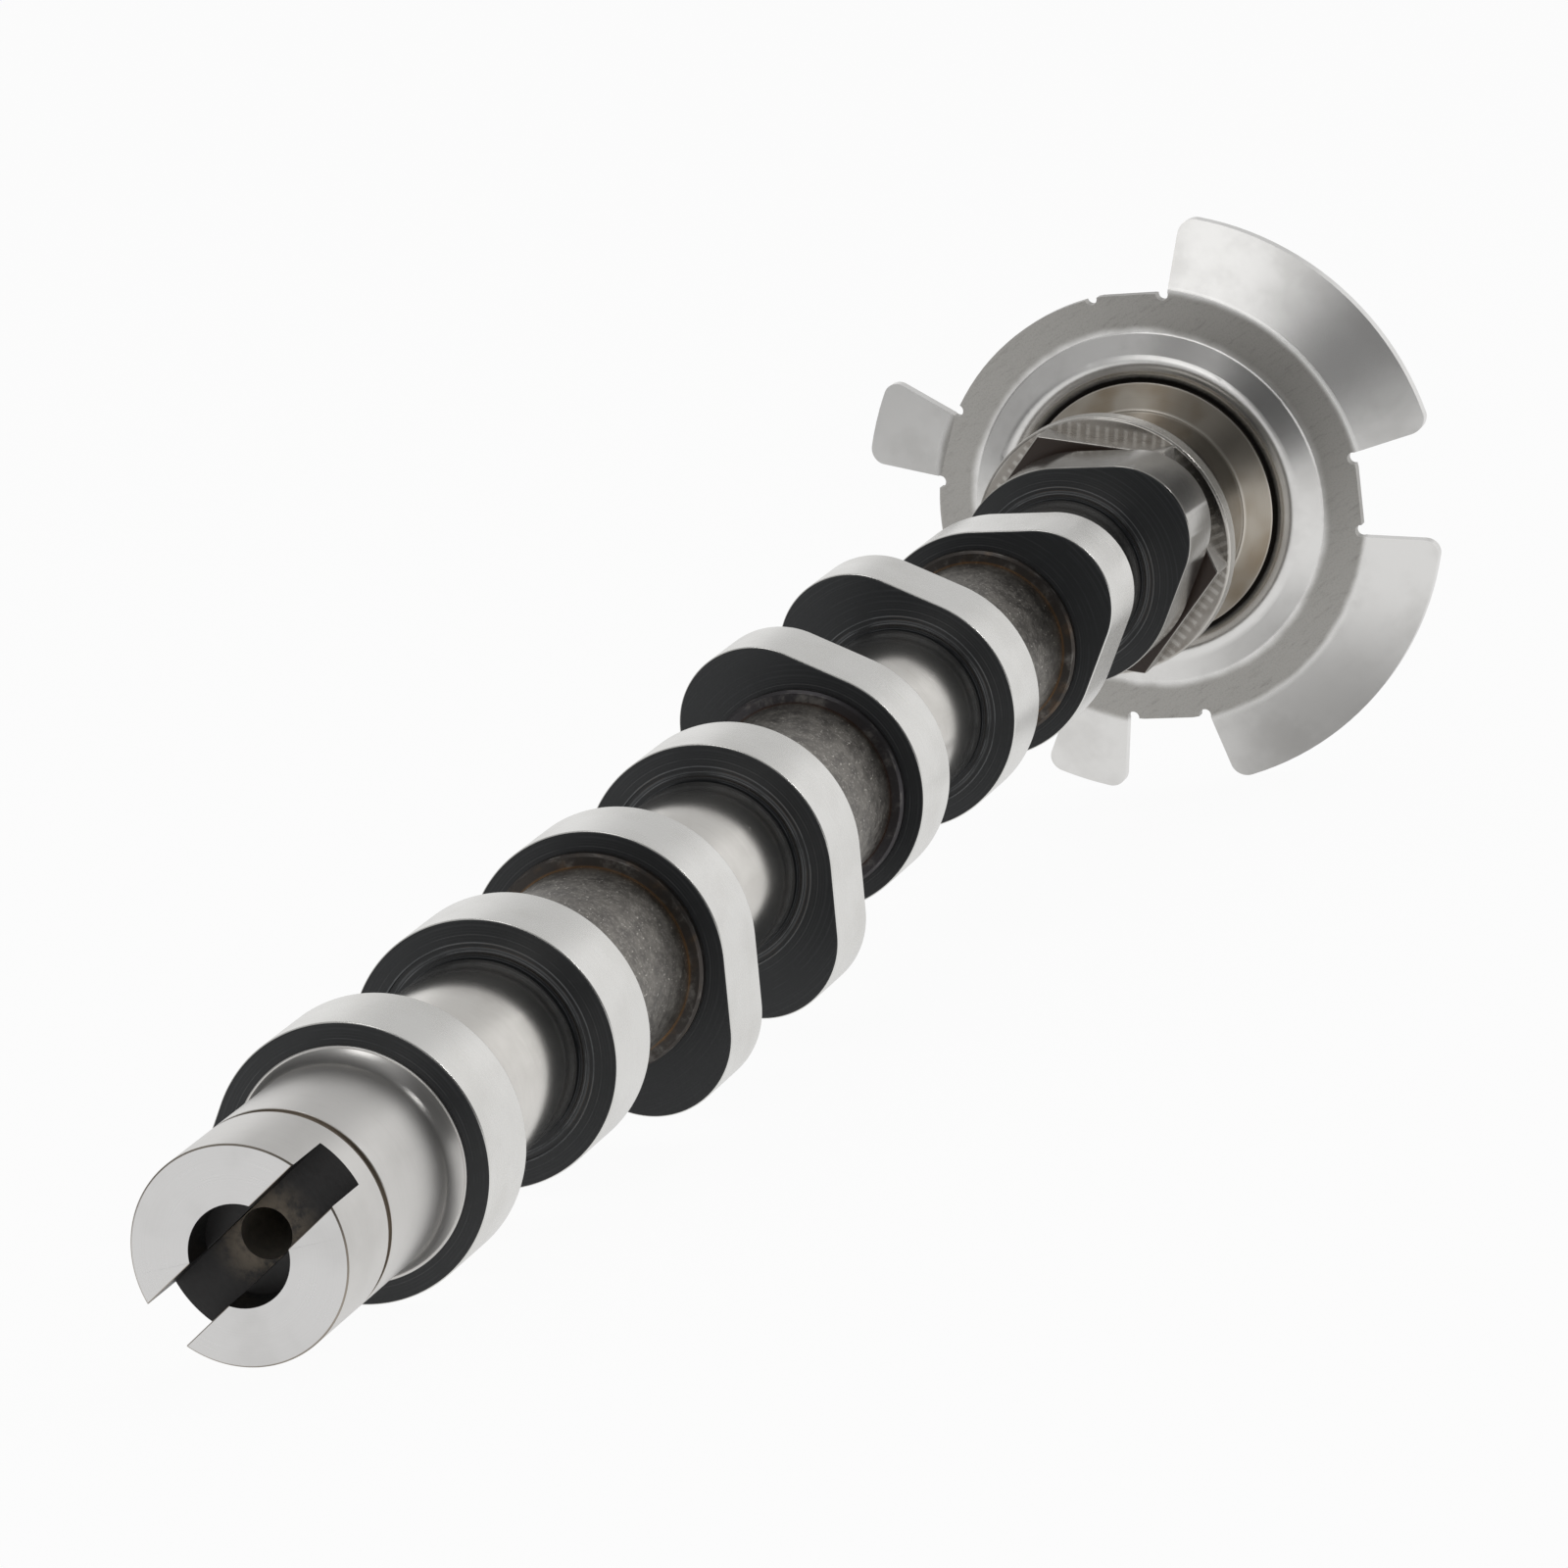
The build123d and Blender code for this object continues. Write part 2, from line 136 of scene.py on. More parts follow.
class Wire:
    """A shader socket that takes part in arithmetic."""

    def __init__(self, bench: Bench, socket: bpy.types.NodeSocket) -> None:
        """Wrap a socket of the bench's tree."""
        self.bench = bench
        self.socket = socket

    def _with(self, operation: str, first: Any, second: Any) -> Wire:
        """Math node on two values or wires."""
        return self.bench.node("ShaderNodeMath", {"operation": operation}, {0: first, 1: second})

    def __add__(self, other: Any) -> Wire:
        """Sum."""
        return self._with("ADD", self, other)

    __radd__ = __add__

    def __sub__(self, other: Any) -> Wire:
        """Difference."""
        return self._with("SUBTRACT", self, other)

    def __rsub__(self, other: Any) -> Wire:
        """Difference from a number."""
        return self._with("SUBTRACT", other, self)

    def __mul__(self, other: Any) -> Wire:
        """Product."""
        return self._with("MULTIPLY", self, other)

    __rmul__ = __mul__

    def least(self, other: Any) -> Wire:
        """Smaller of the two."""
        return self._with("MINIMUM", self, other)

    def most(self, other: Any) -> Wire:
        """Larger of the two."""
        return self._with("MAXIMUM", self, other)

    def sine(self) -> Wire:
        """Sine of an angle in radians."""
        return self._with("SINE", self, 0.0)

    def wrapped(self, period: float) -> Wire:
        """Remainder on a period, never negative."""
        return self._with("FLOORED_MODULO", self, period)

    def size(self) -> Wire:
        """Value without its sign."""
        return self._with("ABSOLUTE", self, 0.0)

    def rise(self, low: float, high: float) -> Wire:
        """Smooth step from 0 at low to 1 at high; falls where low is above high."""
        start, end, to_start, to_end = (low, high, 0.0, 1.0) if low < high else (high, low, 1.0, 0.0)
        return self.bench.node(
            "ShaderNodeMapRange",
            {"interpolation_type": "SMOOTHSTEP"},
            {0: self, 1: start, 2: end, 3: to_start, 4: to_end},
        )

    def swing(self, reach: float) -> Wire:
        """Noise about its mean of a half, scaled to a reach."""
        return (self - 0.5) * reach

    def near(self, value: float, spread: float) -> Wire:
        """Soft bump that is 1 at a value and 0 a spread away from it."""
        return (self - value).size().rise(spread, 0.0)


class Bench:
    """One node tree, and one method that puts nodes in it."""

    def __init__(self, name: str, world: bpy.types.World | None = None) -> None:
        """Start an empty tree.

        Args:
            name: the new material's name.
            world: the world whose tree is used in place of a new material's.
        """
        self.material = bpy.data.materials.new(name) if world is None else None
        owner = world or self.material
        owner.use_nodes = True
        self.tree = owner.node_tree
        self.tree.nodes.clear()

    def node(
        self,
        kind: str,
        settings: dict[str, Any],
        inputs: dict[Any, Any],
        output: str | int | None = 0,
    ) -> Any:
        """Add a node.

        Args:
            kind: the node's type.
            settings: attributes of the node, set before its sockets.
            inputs: value or wire of each socket, by name or number.
            output: the socket to hand back, or None for the node itself.

        Returns:
            The chosen output as a wire, or the node.
        """
        made = self.tree.nodes.new(kind)
        for key, value in settings.items():
            setattr(made, key, value)
        for key, value in inputs.items():
            if isinstance(value, Wire):
                self.tree.links.new(value.socket, made.inputs[key])
            else:
                made.inputs[key].default_value = value
        if output is None:
            return made
        return Wire(self, made.outputs[output])


def opaque(colour: Any) -> Any:
    """Colour as a socket takes it: a wire as it is, three numbers with a fourth."""
    return colour if isinstance(colour, Wire) else (*colour, 1.0)


class SteelBench(Bench):
    """A material of the shaft, with shaft coordinates ready for patterns.

    Attributes:
        MIX_SHARE: number of the colour mixer's share; its colours and its result follow.
    """

    MIX_SHARE = 0
    MIX_FIRST = 6
    MIX_SECOND = 7
    MIX_RESULT = 2

    def __init__(self, name: str, pose: ShaftPose) -> None:
        """Start an empty material.

        Args:
            name: the material's name.
            pose: the pose that the pattern's coordinates are turned back by.
        """
        super().__init__(name)
        place = self.node("ShaderNodeTexCoord", {}, {}, output="Object")
        self.spot = self.node(
            "ShaderNodeMapping",
            {"vector_type": "TEXTURE"},
            {
                "Vector": place,
                "Location": pose.matrix.to_translation(),
                "Rotation": tuple(pose.matrix.to_euler()),
                "Scale": (MM, MM, MM),
            },
        )
        parts = self.node("ShaderNodeSeparateXYZ", {}, {"Vector": self.spot}, output=None)
        self.station = Wire(self, parts.outputs["X"])
        across = self.stretch((0.0, 1.0, 1.0))
        self.radius = self.node(
            "ShaderNodeVectorMath", {"operation": "LENGTH"}, {0: across}, output="Value"
        )
        around = self.node(
            "ShaderNodeMath",
            {"operation": "ARCTAN2"},
            {0: Wire(self, parts.outputs["Z"]), 1: Wire(self, parts.outputs["Y"])},
        )
        self.angle = around * math.degrees(1.0)

    def stretch(self, scale: Triple) -> Wire:
        """Shaft coordinates in millimetres, scaled along each axis."""
        return self.node(
            "ShaderNodeVectorMath", {"operation": "MULTIPLY"}, {0: self.spot, 1: scale}
        )

    def noise(self, grain: Grain) -> Wire:
        """Noise over the shaft.

        Args:
            grain: the pattern's scale and octaves.

        Returns:
            The noise's value, about 0.5 in the mean.
        """
        scales = grain.scale if isinstance(grain.scale, tuple) else (grain.scale,) * 3
        return self.node(
            "ShaderNodeTexNoise",
            {},
            {"Vector": self.stretch(scales), "Scale": 1.0, "Detail": grain.detail, "Roughness": grain.rough},
        )

    def rings(self, per_mm: float, detail: float = 2.0) -> Wire:
        """Turning marks on a face: noise that changes along the radius only."""
        along = self.node("ShaderNodeCombineXYZ", {}, {"X": self.radius * per_mm})
        return self.node(
            "ShaderNodeTexNoise", {}, {"Vector": along, "Scale": 1.0, "Detail": detail}
        )

    def blend(self, share: Any, first: Any, second: Any) -> Wire:
        """Mix two colours.

        Args:
            share: how much of the second colour shows, from 0 to 1.
            first: colour where the share is 0, plain or a wire.
            second: colour where it is 1.

        Returns:
            The mixed colour.
        """
        inputs = {self.MIX_SHARE: share, self.MIX_FIRST: opaque(first), self.MIX_SECOND: opaque(second)}
        return self.node("ShaderNodeMix", {"data_type": "RGBA"}, inputs, output=self.MIX_RESULT)

    def bump(self, height: Wire, depth: float) -> Wire:
        """Normal from a height, with the depth in millimetres."""
        inputs = {"Height": height, "Strength": 1.0, "Distance": depth * MM}
        return self.node("ShaderNodeBump", {}, inputs)

    def surface(self, colour: Any, metal: float, rough: Any, normal: Wire | None = None) -> None:
        """Close the material with its surface shader.

        Args:
            colour: base colour, plain or a wire.
            metal: how metallic the surface is.
            rough: roughness, plain or a wire.
            normal: normal from a bump, if any.
        """
        inputs: dict[str, Any] = {"Base Color": opaque(colour), "Metallic": metal, "Roughness": rough}
        if normal is not None:
            inputs["Normal"] = normal
        shader = self.node("ShaderNodeBsdfPrincipled", {}, inputs)
        self.node("ShaderNodeOutputMaterial", {}, {"Surface": shader}, output=None)


@dataclass(frozen=True)
class Grain:
    """A noise pattern.

    Attributes:
        scale: cells for each millimetre, the same all ways or along, across and across.
        detail: octaves.
        rough: share of the fine octaves.
    """

    scale: float | Triple
    detail: float = 3.0
    rough: float = 0.55


@dataclass(frozen=True)
class Cover:
    """How a second colour lies over the first by a pattern.

    Attributes:
        low: the pattern's value at which the colour begins.
        high: the value at which it is whole.
        share: how much of it shows there.
    """

    low: float
    high: float
    share: float = 1.0

    def of(self, pattern: Wire) -> Wire:
        """Share of the second colour."""
        rise = pattern.rise(self.low, self.high)
        return rise if self.share == 1.0 else rise * self.share


@dataclass(frozen=True)
class SteelFinish:
    """A finish of the camshaft's steel."""

    name: str

    def make(self, pose: ShaftPose) -> bpy.types.Material:
        """Build the material.

        Args:
            pose: the pose that its patterns follow.

        Returns:
            The finished material.
        """
        bench = SteelBench(self.name, pose)
        self.dress(bench)
        return bench.material

    def dress(self, bench: SteelBench) -> None:
        """Lay the patterns on a bench and close its material.

        Args:
            bench: the material in the making.
        """
        raise NotImplementedError


@dataclass(frozen=True)
class GroundSteel(SteelFinish):
    """Steel ground all round: fine lines about the shaft and a soft sheen.

    Attributes:
        tone: the steel's colour.
        stain: colour of the faint patches.
        rough: mean roughness.
        lines: grinding lines for each millimetre along the shaft.
        around: their cells for each millimetre the other ways.
        depth: depth of the lines in millimetres.
        swing: how far lines and patches move the roughness.
        fine_swing: how far the fine grain moves it.
        fine_height: height of the fine grain beside the lines'.
    """

    tone: Colour = grey("E2E1DD")
    stain: Colour = grey("BFBCB5")
    rough: float = 0.24
    lines: float = 9.0
    around: float = 0.12
    patches: Grain = Grain((0.09, 0.12, 0.12))
    fine: Grain = Grain(2.2, detail=2.0)
    patch_cover: Cover = Cover(0.38, 0.72, 0.35)
    line_cover: Cover = Cover(0.45, 0.8, 0.2)
    depth: float = 0.0005
    swing: float = 0.06
    fine_swing: float = 0.02
    fine_height: float = 0.1

    def dress(self, bench: SteelBench) -> None:
        """Lay the patterns on a bench and close its material.

        Args:
            bench: the material in the making.
        """
        lines = bench.noise(Grain((self.lines, self.around, self.around), detail=4.0))
        patches = bench.noise(self.patches)
        fine = bench.noise(self.fine)
        share = self.patch_cover.of(patches) + self.line_cover.of(lines)
        colour = bench.blend(share, self.tone, self.stain)
        rough = self.rough + lines.swing(self.swing) + patches.swing(self.swing)
        rough = rough + fine.swing(self.fine_swing)
        bench.surface(colour, BARE, rough, bench.bump(lines + fine * self.fine_height, self.depth))


@dataclass(frozen=True)
class BlackenedFace(SteelFinish):
    """Side of a lobe: near black, with turning marks about the shaft and a few worn rings.

    Attributes:
        mark: colour of the turning marks.
        worn: colour of the worn rings near the tube.
        reach: radii at which the marks of the tube's neighbourhood begin and are whole.
        steps: radius and half width of each turned step.
        far_share: share of the marks away from the tube.
    """

    tone: Colour = grey("27292B")
    mark: Colour = grey("84878A")
    worn: Colour = grey("5C4A38")
    cloud: Grain = Grain(0.16, detail=4.0)
    grain: Grain = Grain(3.5, detail=2.0)
    rings: float = 2.6
    worn_rings: float = 4.0
    reach: Pair = (17.0, 13.2)
    steps: tuple[Pair, Pair] = ((13.6, 0.12), (14.4, 0.14))
    ring_cover: Cover = Cover(0.5, 0.62)
    cloud_cover: Cover = Cover(0.34, 0.58)
    worn_cover: Cover = Cover(0.54, 0.66)
    worn_cloud: Cover = Cover(0.46, 0.62, 0.6)
    far_share: float = 0.09
    step_share: float = 0.5
    rough: float = 0.38
    ring_swing: float = 0.3
    grain_swing: float = 0.12
    far_height: float = 0.4
    grain_height: float = 0.3
    step_height: float = 0.8
    depth: float = 0.008

    def dress(self, bench: SteelBench) -> None:
        """Lay the patterns on a bench and close its material.

        Args:
            bench: the material in the making.
        """
        rings = bench.rings(self.rings, detail=4.0)
        cloud = bench.noise(self.cloud)
        grain = bench.noise(self.grain)
        near_tube = bench.radius.rise(*self.reach)
        inner, outer = (bench.radius.near(*step) for step in self.steps)
        steps = inner.most(outer)
        share = self.far_share + near_tube * (1.0 - self.far_share)
        marks = self.ring_cover.of(rings) * share * self.cloud_cover.of(cloud)
        colour = bench.blend((marks + steps * self.step_share).least(1.0), self.tone, self.mark)
        worn = near_tube * self.worn_cover.of(bench.rings(self.worn_rings)) * self.worn_cloud.of(cloud)
        colour = bench.blend(worn, colour, self.worn)
        rough = self.rough + rings.swing(self.ring_swing) + grain.swing(self.grain_swing)
        height = rings * (self.far_height + near_tube) + grain * self.grain_height + steps * self.step_height
        bench.surface(colour, 0.0, rough, bench.bump(height, self.depth))


@dataclass(frozen=True)
class CollarSteel(SteelFinish):
    """Collar of a lobe and what touches it: dark, rubbed, with rust in the joint.

    Attributes:
        joint: radius at which the collar meets the tube.
        joint_reach: how far the rust spreads from there.
        joint_rust: least rust in the joint, and how much more the cloud adds.
        glow: share of the copper heat tint.
    """

    joint: float = 13.0
    joint_reach: float = 0.4
    joint_rust: Pair = (0.35, 0.6)
    glow: float = 0.1
    tone: Colour = grey("4A484A")
    rubbed: Colour = grey("96938F")
    rust: Colour = grey("4C382C")
    streaks: Grain = Grain((2.5, 0.35, 0.35), detail=5.0, rough=0.65)
    cloud: Grain = Grain(0.3)
    streak_cover: Cover = Cover(0.5, 0.75, 0.7)
    glow_rise: Pair = (0.5, 0.7)
    metal: float = 0.85
    rough: float = 0.38
    swing: float = 0.35
    cloud_height: float = 0.5
    depth: float = 0.008

    def dress(self, bench: SteelBench) -> None:
        """Lay the patterns on a bench and close its material.

        Args:
            bench: the material in the making.
        """
        streaks = bench.noise(self.streaks)
        cloud = bench.noise(self.cloud)
        colour = bench.blend(self.streak_cover.of(streaks), self.tone, self.rubbed)
        least, more = self.joint_rust
        rust = bench.radius.near(self.joint, self.joint_reach) * (least + cloud * more)
        colour = bench.blend(rust + cloud.rise(*self.glow_rise) * self.glow, colour, self.rust)
        rough = self.rough + streaks.swing(self.swing)
        bench.surface(colour, self.metal, rough, bench.bump(streaks + cloud * self.cloud_height, self.depth))


@dataclass(frozen=True)
class DrawnTube(SteelFinish):
    """Rough tube between the pairs: dull, mottled, flecked, and tinted by heat at the collars.

    Attributes:
        first: station of the first stretch's middle.
        pitch: distance between stretches.
        half: half a stretch's length.
        tint: distances from the stretch's end at which the heat tint begins and is whole.
        tint_share: least heat tint, and how much more the mottle adds.
        heights: heights of mottle, grit and flecks.
    """

    first: float = 111.0
    pitch: float = 90.0
    half: float = 14.5
    tone: Colour = grey("8C8882")
    dark: Colour = grey("66625E")
    fleck: Colour = grey("E2DED6")
    heat: Colour = grey("77624C")
    mottle: Grain = Grain(0.45, detail=5.0, rough=0.6)
    grit: Grain = Grain(1.7, detail=4.0, rough=0.8)
    flecks: Grain = Grain((1.5, 2.6, 2.6), detail=2.0, rough=0.6)
    mottle_cover: Cover = Cover(0.3, 0.7)
    grit_cover: Cover = Cover(0.48, 0.66, 0.32)
    fleck_cover: Cover = Cover(0.66, 0.71)
    tint: Pair = (-2.4, 0.2)
    tint_share: Pair = (0.3, 0.5)
    metal: float = 0.92
    rough: float = 0.42
    swing: float = 0.25
    heights: Triple = (0.5, 0.4, 0.3)
    depth: float = 0.01

    def dress(self, bench: SteelBench) -> None:
        """Lay the patterns on a bench and close its material.

        Args:
            bench: the material in the making.
        """
        mottle, grit, flecks = (bench.noise(grain) for grain in (self.mottle, self.grit, self.flecks))
        colour = bench.blend(self.mottle_cover.of(mottle), self.dark, self.tone)
        colour = bench.blend(self.grit_cover.of(grit), colour, self.fleck)
        colour = bench.blend(self.fleck_cover.of(flecks), colour, self.fleck)
        place = (bench.station - (self.first - self.pitch / 2)).wrapped(self.pitch) - self.pitch / 2
        edge = place.size().rise(self.half + self.tint[0], self.half + self.tint[1])
        least, more = self.tint_share
        colour = bench.blend(edge * (least + mottle * more), colour, self.heat)
        rough = self.rough + mottle.swing(self.swing) + grit.swing(self.swing)
        height = mottle * self.heights[0] + grit * self.heights[1] + flecks * self.heights[2]
        bench.surface(colour, self.metal, rough, bench.bump(height, self.depth))


@dataclass(frozen=True)
class FacedSteel(SteelFinish):
    """Flat turned face: rings about the shaft on bright or dull steel."""

    tone: Colour = grey("DEDDDC")
    stain: Colour = grey("CCCBC9")
    rough: float = 0.3
    rings: float = 6.0
    cloud: Grain = Grain(0.12)
    ring_cover: Cover = Cover(0.45, 0.8, 0.2)
    cloud_cover: Cover = Cover(0.45, 0.75, 0.4)
    ring_swing: float = 0.14
    cloud_swing: float = 0.1
    depth: float = 0.002

    def dress(self, bench: SteelBench) -> None:
        """Lay the patterns on a bench and close its material.

        Args:
            bench: the material in the making.
        """
        rings = bench.rings(self.rings, detail=3.0)
        cloud = bench.noise(self.cloud)
        share = self.ring_cover.of(rings) + self.cloud_cover.of(cloud)
        rough = self.rough + rings.swing(self.ring_swing) + cloud.swing(self.cloud_swing)
        colour = bench.blend(share, self.tone, self.stain)
        bench.surface(colour, BARE, rough, bench.bump(rings, self.depth))


@dataclass(frozen=True)
class CutSteel(SteelFinish):
    """Milled or drilled steel in the slot and the holes: dark, and brown near the axis deep in the slot.

    Attributes:
        middle: radii at which the brown begins and is whole.
        floor: stations at which it begins and is whole.
    """

    tone: Colour = grey("313030")
    warm: Colour = grey("6B6256")
    cloud: Grain = Grain(0.5, detail=5.0, rough=0.65)
    cuts: Grain = Grain((1.2, 1.2, 4.0))
    middle: Pair = (8.0, 3.0)
    floor: Pair = (6.5, 8.5)
    cloud_cover: Cover = Cover(0.3, 0.6)
    metal: float = 0.6
    rough: float = 0.42
    swing: float = 0.3
    depth: float = 0.01

    def dress(self, bench: SteelBench) -> None:
        """Lay the patterns on a bench and close its material.

        Args:
            bench: the material in the making.
        """
        cloud = bench.noise(self.cloud)
        cuts = bench.noise(self.cuts)
        middle = bench.radius.rise(*self.middle) * bench.station.rise(*self.floor)
        colour = bench.blend(middle * self.cloud_cover.of(cloud), self.tone, self.warm)
        rough = self.rough + cuts.swing(self.swing)
        bench.surface(colour, self.metal, rough, bench.bump(cuts + cloud, self.depth))


@dataclass(frozen=True)
class SpannerSteel(SteelFinish):
    """Hexagon and collar: satin, browned in places, with cutter marks where the flats were milled and a
    painted highlight on the collar's edge.

    Attributes:
        corner: angle of one of the hexagon's corners.
        face: station of the collar's face, which the cutter marked.
        flat: distance of the flats from the shaft's axis.
        rim: radius of the collar, whose edge gets a painted highlight.
        pitch: distance between the marks.
        tick: distances from a mark's middle at which it begins and is whole.
        mark_reach: heights above a flat at which the marks end and are whole.
        milled_reach: the same heights for the milled band that the marks stand in.
        heights: heights of the grain and of the cloud beside the marks'.
    """

    corner: float = 12.1
    face: float = 375.4
    flat: float = 18.0
    rim: float = 21.0
    pitch: float = 1.55
    tone: Colour = grey("AEABA6")
    stain: Colour = grey("6E6259")
    # Light colour of the rubbed streaks and of the painted highlight on the collar's edge.
    shine_and_highlight: Colour = grey("DAD7D1")
    milled: Colour = grey("77716A")
    cloud: Grain = Grain(0.28, detail=4.0, rough=0.6)
    grain: Grain = Grain((5.0, 1.2, 1.2))
    stain_cover: Cover = Cover(0.46, 0.72, 0.45)
    shine_cover: Cover = Cover(0.55, 0.8, 0.3)
    tick: Pair = (0.5, 0.15)
    face_reach: float = 0.2
    mark_reach: Pair = (1.6, 1.1)
    milled_reach: Pair = (2.6, 2.1)
    milled_share: float = 0.55
    rim_reach: float = 0.5
    rim_highlight_share: float = 0.8
    rough: float = 0.25
    cloud_swing: float = 0.15
    grain_swing: float = 0.1
    heights: Pair = (0.2, 0.1)
    depth: float = 0.01

    def dress(self, bench: SteelBench) -> None:
        """Lay the patterns on a bench and close its material.

        Args:
            bench: the material in the making.
        """
        cloud = bench.noise(self.cloud)
        grain = bench.noise(self.grain)
        colour = bench.blend(self.stain_cover.of(cloud), self.tone, self.stain)
        colour = bench.blend(self.shine_cover.of(grain), colour, self.shine_and_highlight)
        sector = 360.0 / HEXAGON_SIDES
        side = ((bench.angle - self.corner).wrapped(sector) - sector / 2) * math.radians(1.0)
        along = bench.radius * side.sine()
        above = bench.radius * (side + math.pi / 2).sine() - self.flat
        ticks = (along.wrapped(self.pitch) - self.pitch / 2).size().rise(*self.tick)
        behind = bench.station.near(self.face, self.face_reach) * above.rise(*self.milled_reach)
        marks = ticks * behind * above.rise(*self.mark_reach)
        colour = bench.blend(behind * (1.0 - marks) * self.milled_share, colour, self.milled)
        # Painted highlight: a light ring along the collar's edge.
        edge = bench.radius.near(self.rim, self.rim_reach)
        colour = bench.blend(edge * self.rim_highlight_share, colour, self.shine_and_highlight)
        rough = self.rough + cloud.swing(self.cloud_swing) + grain.swing(self.grain_swing)
        height = grain * self.heights[0] + cloud * self.heights[1] + marks
        bench.surface(colour, BARE, rough, bench.bump(height, self.depth))


@dataclass(frozen=True)
class ShoulderSteel(SteelFinish):
    """Conical shoulder: warm grey turned steel, clouded with bronze, with painted highlights on its edges.

    Attributes:
        edges: radius and reach of the flange's edge and of the cone's root, both given a painted highlight.
    """

    edges: tuple[Pair, Pair] = ((21.1, 0.35), (17.2, 0.3))
    highlight_share: float = 0.7
    tone: Colour = grey("B2ABA0")
    bronze: Colour = grey("86745B")
    painted_highlight: Colour = grey("DDD8CF")
    cloud: Grain = Grain(0.13, detail=1.5)
    rings: float = 7.0
    cloud_cover: Cover = Cover(0.4, 0.7, 0.6)
    ring_cover: Cover = Cover(0.5, 0.8, 0.2)
    rough: float = 0.33
    swing: float = 0.2
    depth: float = 0.003

    def dress(self, bench: SteelBench) -> None:
        """Lay the patterns on a bench and close its material.

        Args:
            bench: the material in the making.
        """
        cloud = bench.noise(self.cloud)
        rings = bench.rings(self.rings)
        share = self.cloud_cover.of(cloud) + self.ring_cover.of(rings)
        colour = bench.blend(share, self.tone, self.bronze)
        # Painted highlight: thin light rings at the flange's edge and the cone's root, where the edges catch
        # the light.
        flange, root = (bench.radius.near(*edge) for edge in self.edges)
        colour = bench.blend(flange.most(root) * self.highlight_share, colour, self.painted_highlight)
        rough = self.rough + cloud.swing(self.swing)
        bench.surface(colour, BARE, rough, bench.bump(rings, self.depth))


@dataclass(frozen=True)
class PressedSheet(SteelFinish):
    """Sheet steel of the trigger wheel: smooth where it was pressed, dull and pitted on the flat rim, with
    painted shade in the gap at the shoulder.

    Attributes:
        rim_start: radii at which the flat rim's dullness begins and is whole.
        rim_end: radii at which it ends and is still whole.
        waver: how far the dullness strays from those radii.
        gap: radii at which the painted shade in the gap at the shoulder ends and is whole.
        gap_waver: how far the painted shade strays from those radii.
        face: stations of the sheet's front at which the painted shade ends and is whole.
        dull_rough: roughness that the rim adds, and how much more its pits add.
        heights: heights of the rim's pits and scuffs.
    """

    rim_start: Pair = (28.8, 30.4)
    rim_end: Pair = (36.4, 35.2)
    waver: float = 1.5
    gap: Pair = (22.9, 21.6)
    gap_waver: float = 0.3
    face: Pair = (403.78, 403.65)
    tone: Colour = grey("E8E7E5")
    stain: Colour = grey("C5C3C0")
    dull: Colour = grey("AFADA9")
    pit: Colour = grey("807D79")
    # Colour of the painted shade in the gap at the shoulder.
    gap_shade: Colour = grey("1C1A18")
    cloud: Grain = Grain(0.1, detail=4.0, rough=0.6)
    pits: Grain = Grain(3.6, rough=0.7)
    scuffs: Grain = Grain((0.5, 1.6, 0.3), detail=4.0, rough=0.7)
    cloud_cover: Cover = Cover(0.4, 0.7, 0.35)
    pit_cover: Cover = Cover(0.44, 0.74, 0.35)
    scuff_cover: Cover = Cover(0.5, 0.75, 0.35)
    rough: float = 0.26
    dull_rough: Pair = (0.09, 0.06)
    swing: float = 0.05
    gap_shade_rough: float = 0.3
    heights: Pair = (0.5, 0.2)
    depth: float = 0.006

    def dress(self, bench: SteelBench) -> None:
        """Lay the patterns on a bench and close its material.

        Args:
            bench: the material in the making.
        """
        cloud, pits, scuffs = (bench.noise(grain) for grain in (self.cloud, self.pits, self.scuffs))
        smooth = bench.blend(self.cloud_cover.of(cloud), self.tone, self.stain)
        pitted = bench.blend(self.pit_cover.of(pits) + self.scuff_cover.of(scuffs), self.dull, self.pit)
        out = bench.radius + cloud.swing(self.waver)
        flat = out.rise(*self.rim_start) * out.rise(*self.rim_end)
        colour = bench.blend(flat, smooth, pitted)
        # Painted shade: darkens the sheet's front near the shoulder, where the gap lies in shadow.
        front = bench.station.rise(*self.face)
        gap_shade = (bench.radius + scuffs.swing(self.gap_waver)).rise(*self.gap) * front
        colour = bench.blend(gap_shade, colour, self.gap_shade)
        least, more = self.dull_rough
        rough = self.rough + flat * (pits * more + least) + cloud.swing(self.swing)
        rough = rough + gap_shade * self.gap_shade_rough
        height = flat * (pits * self.heights[0] + scuffs * self.heights[1])
        bench.surface(colour, BARE, rough, bench.bump(height, self.depth))


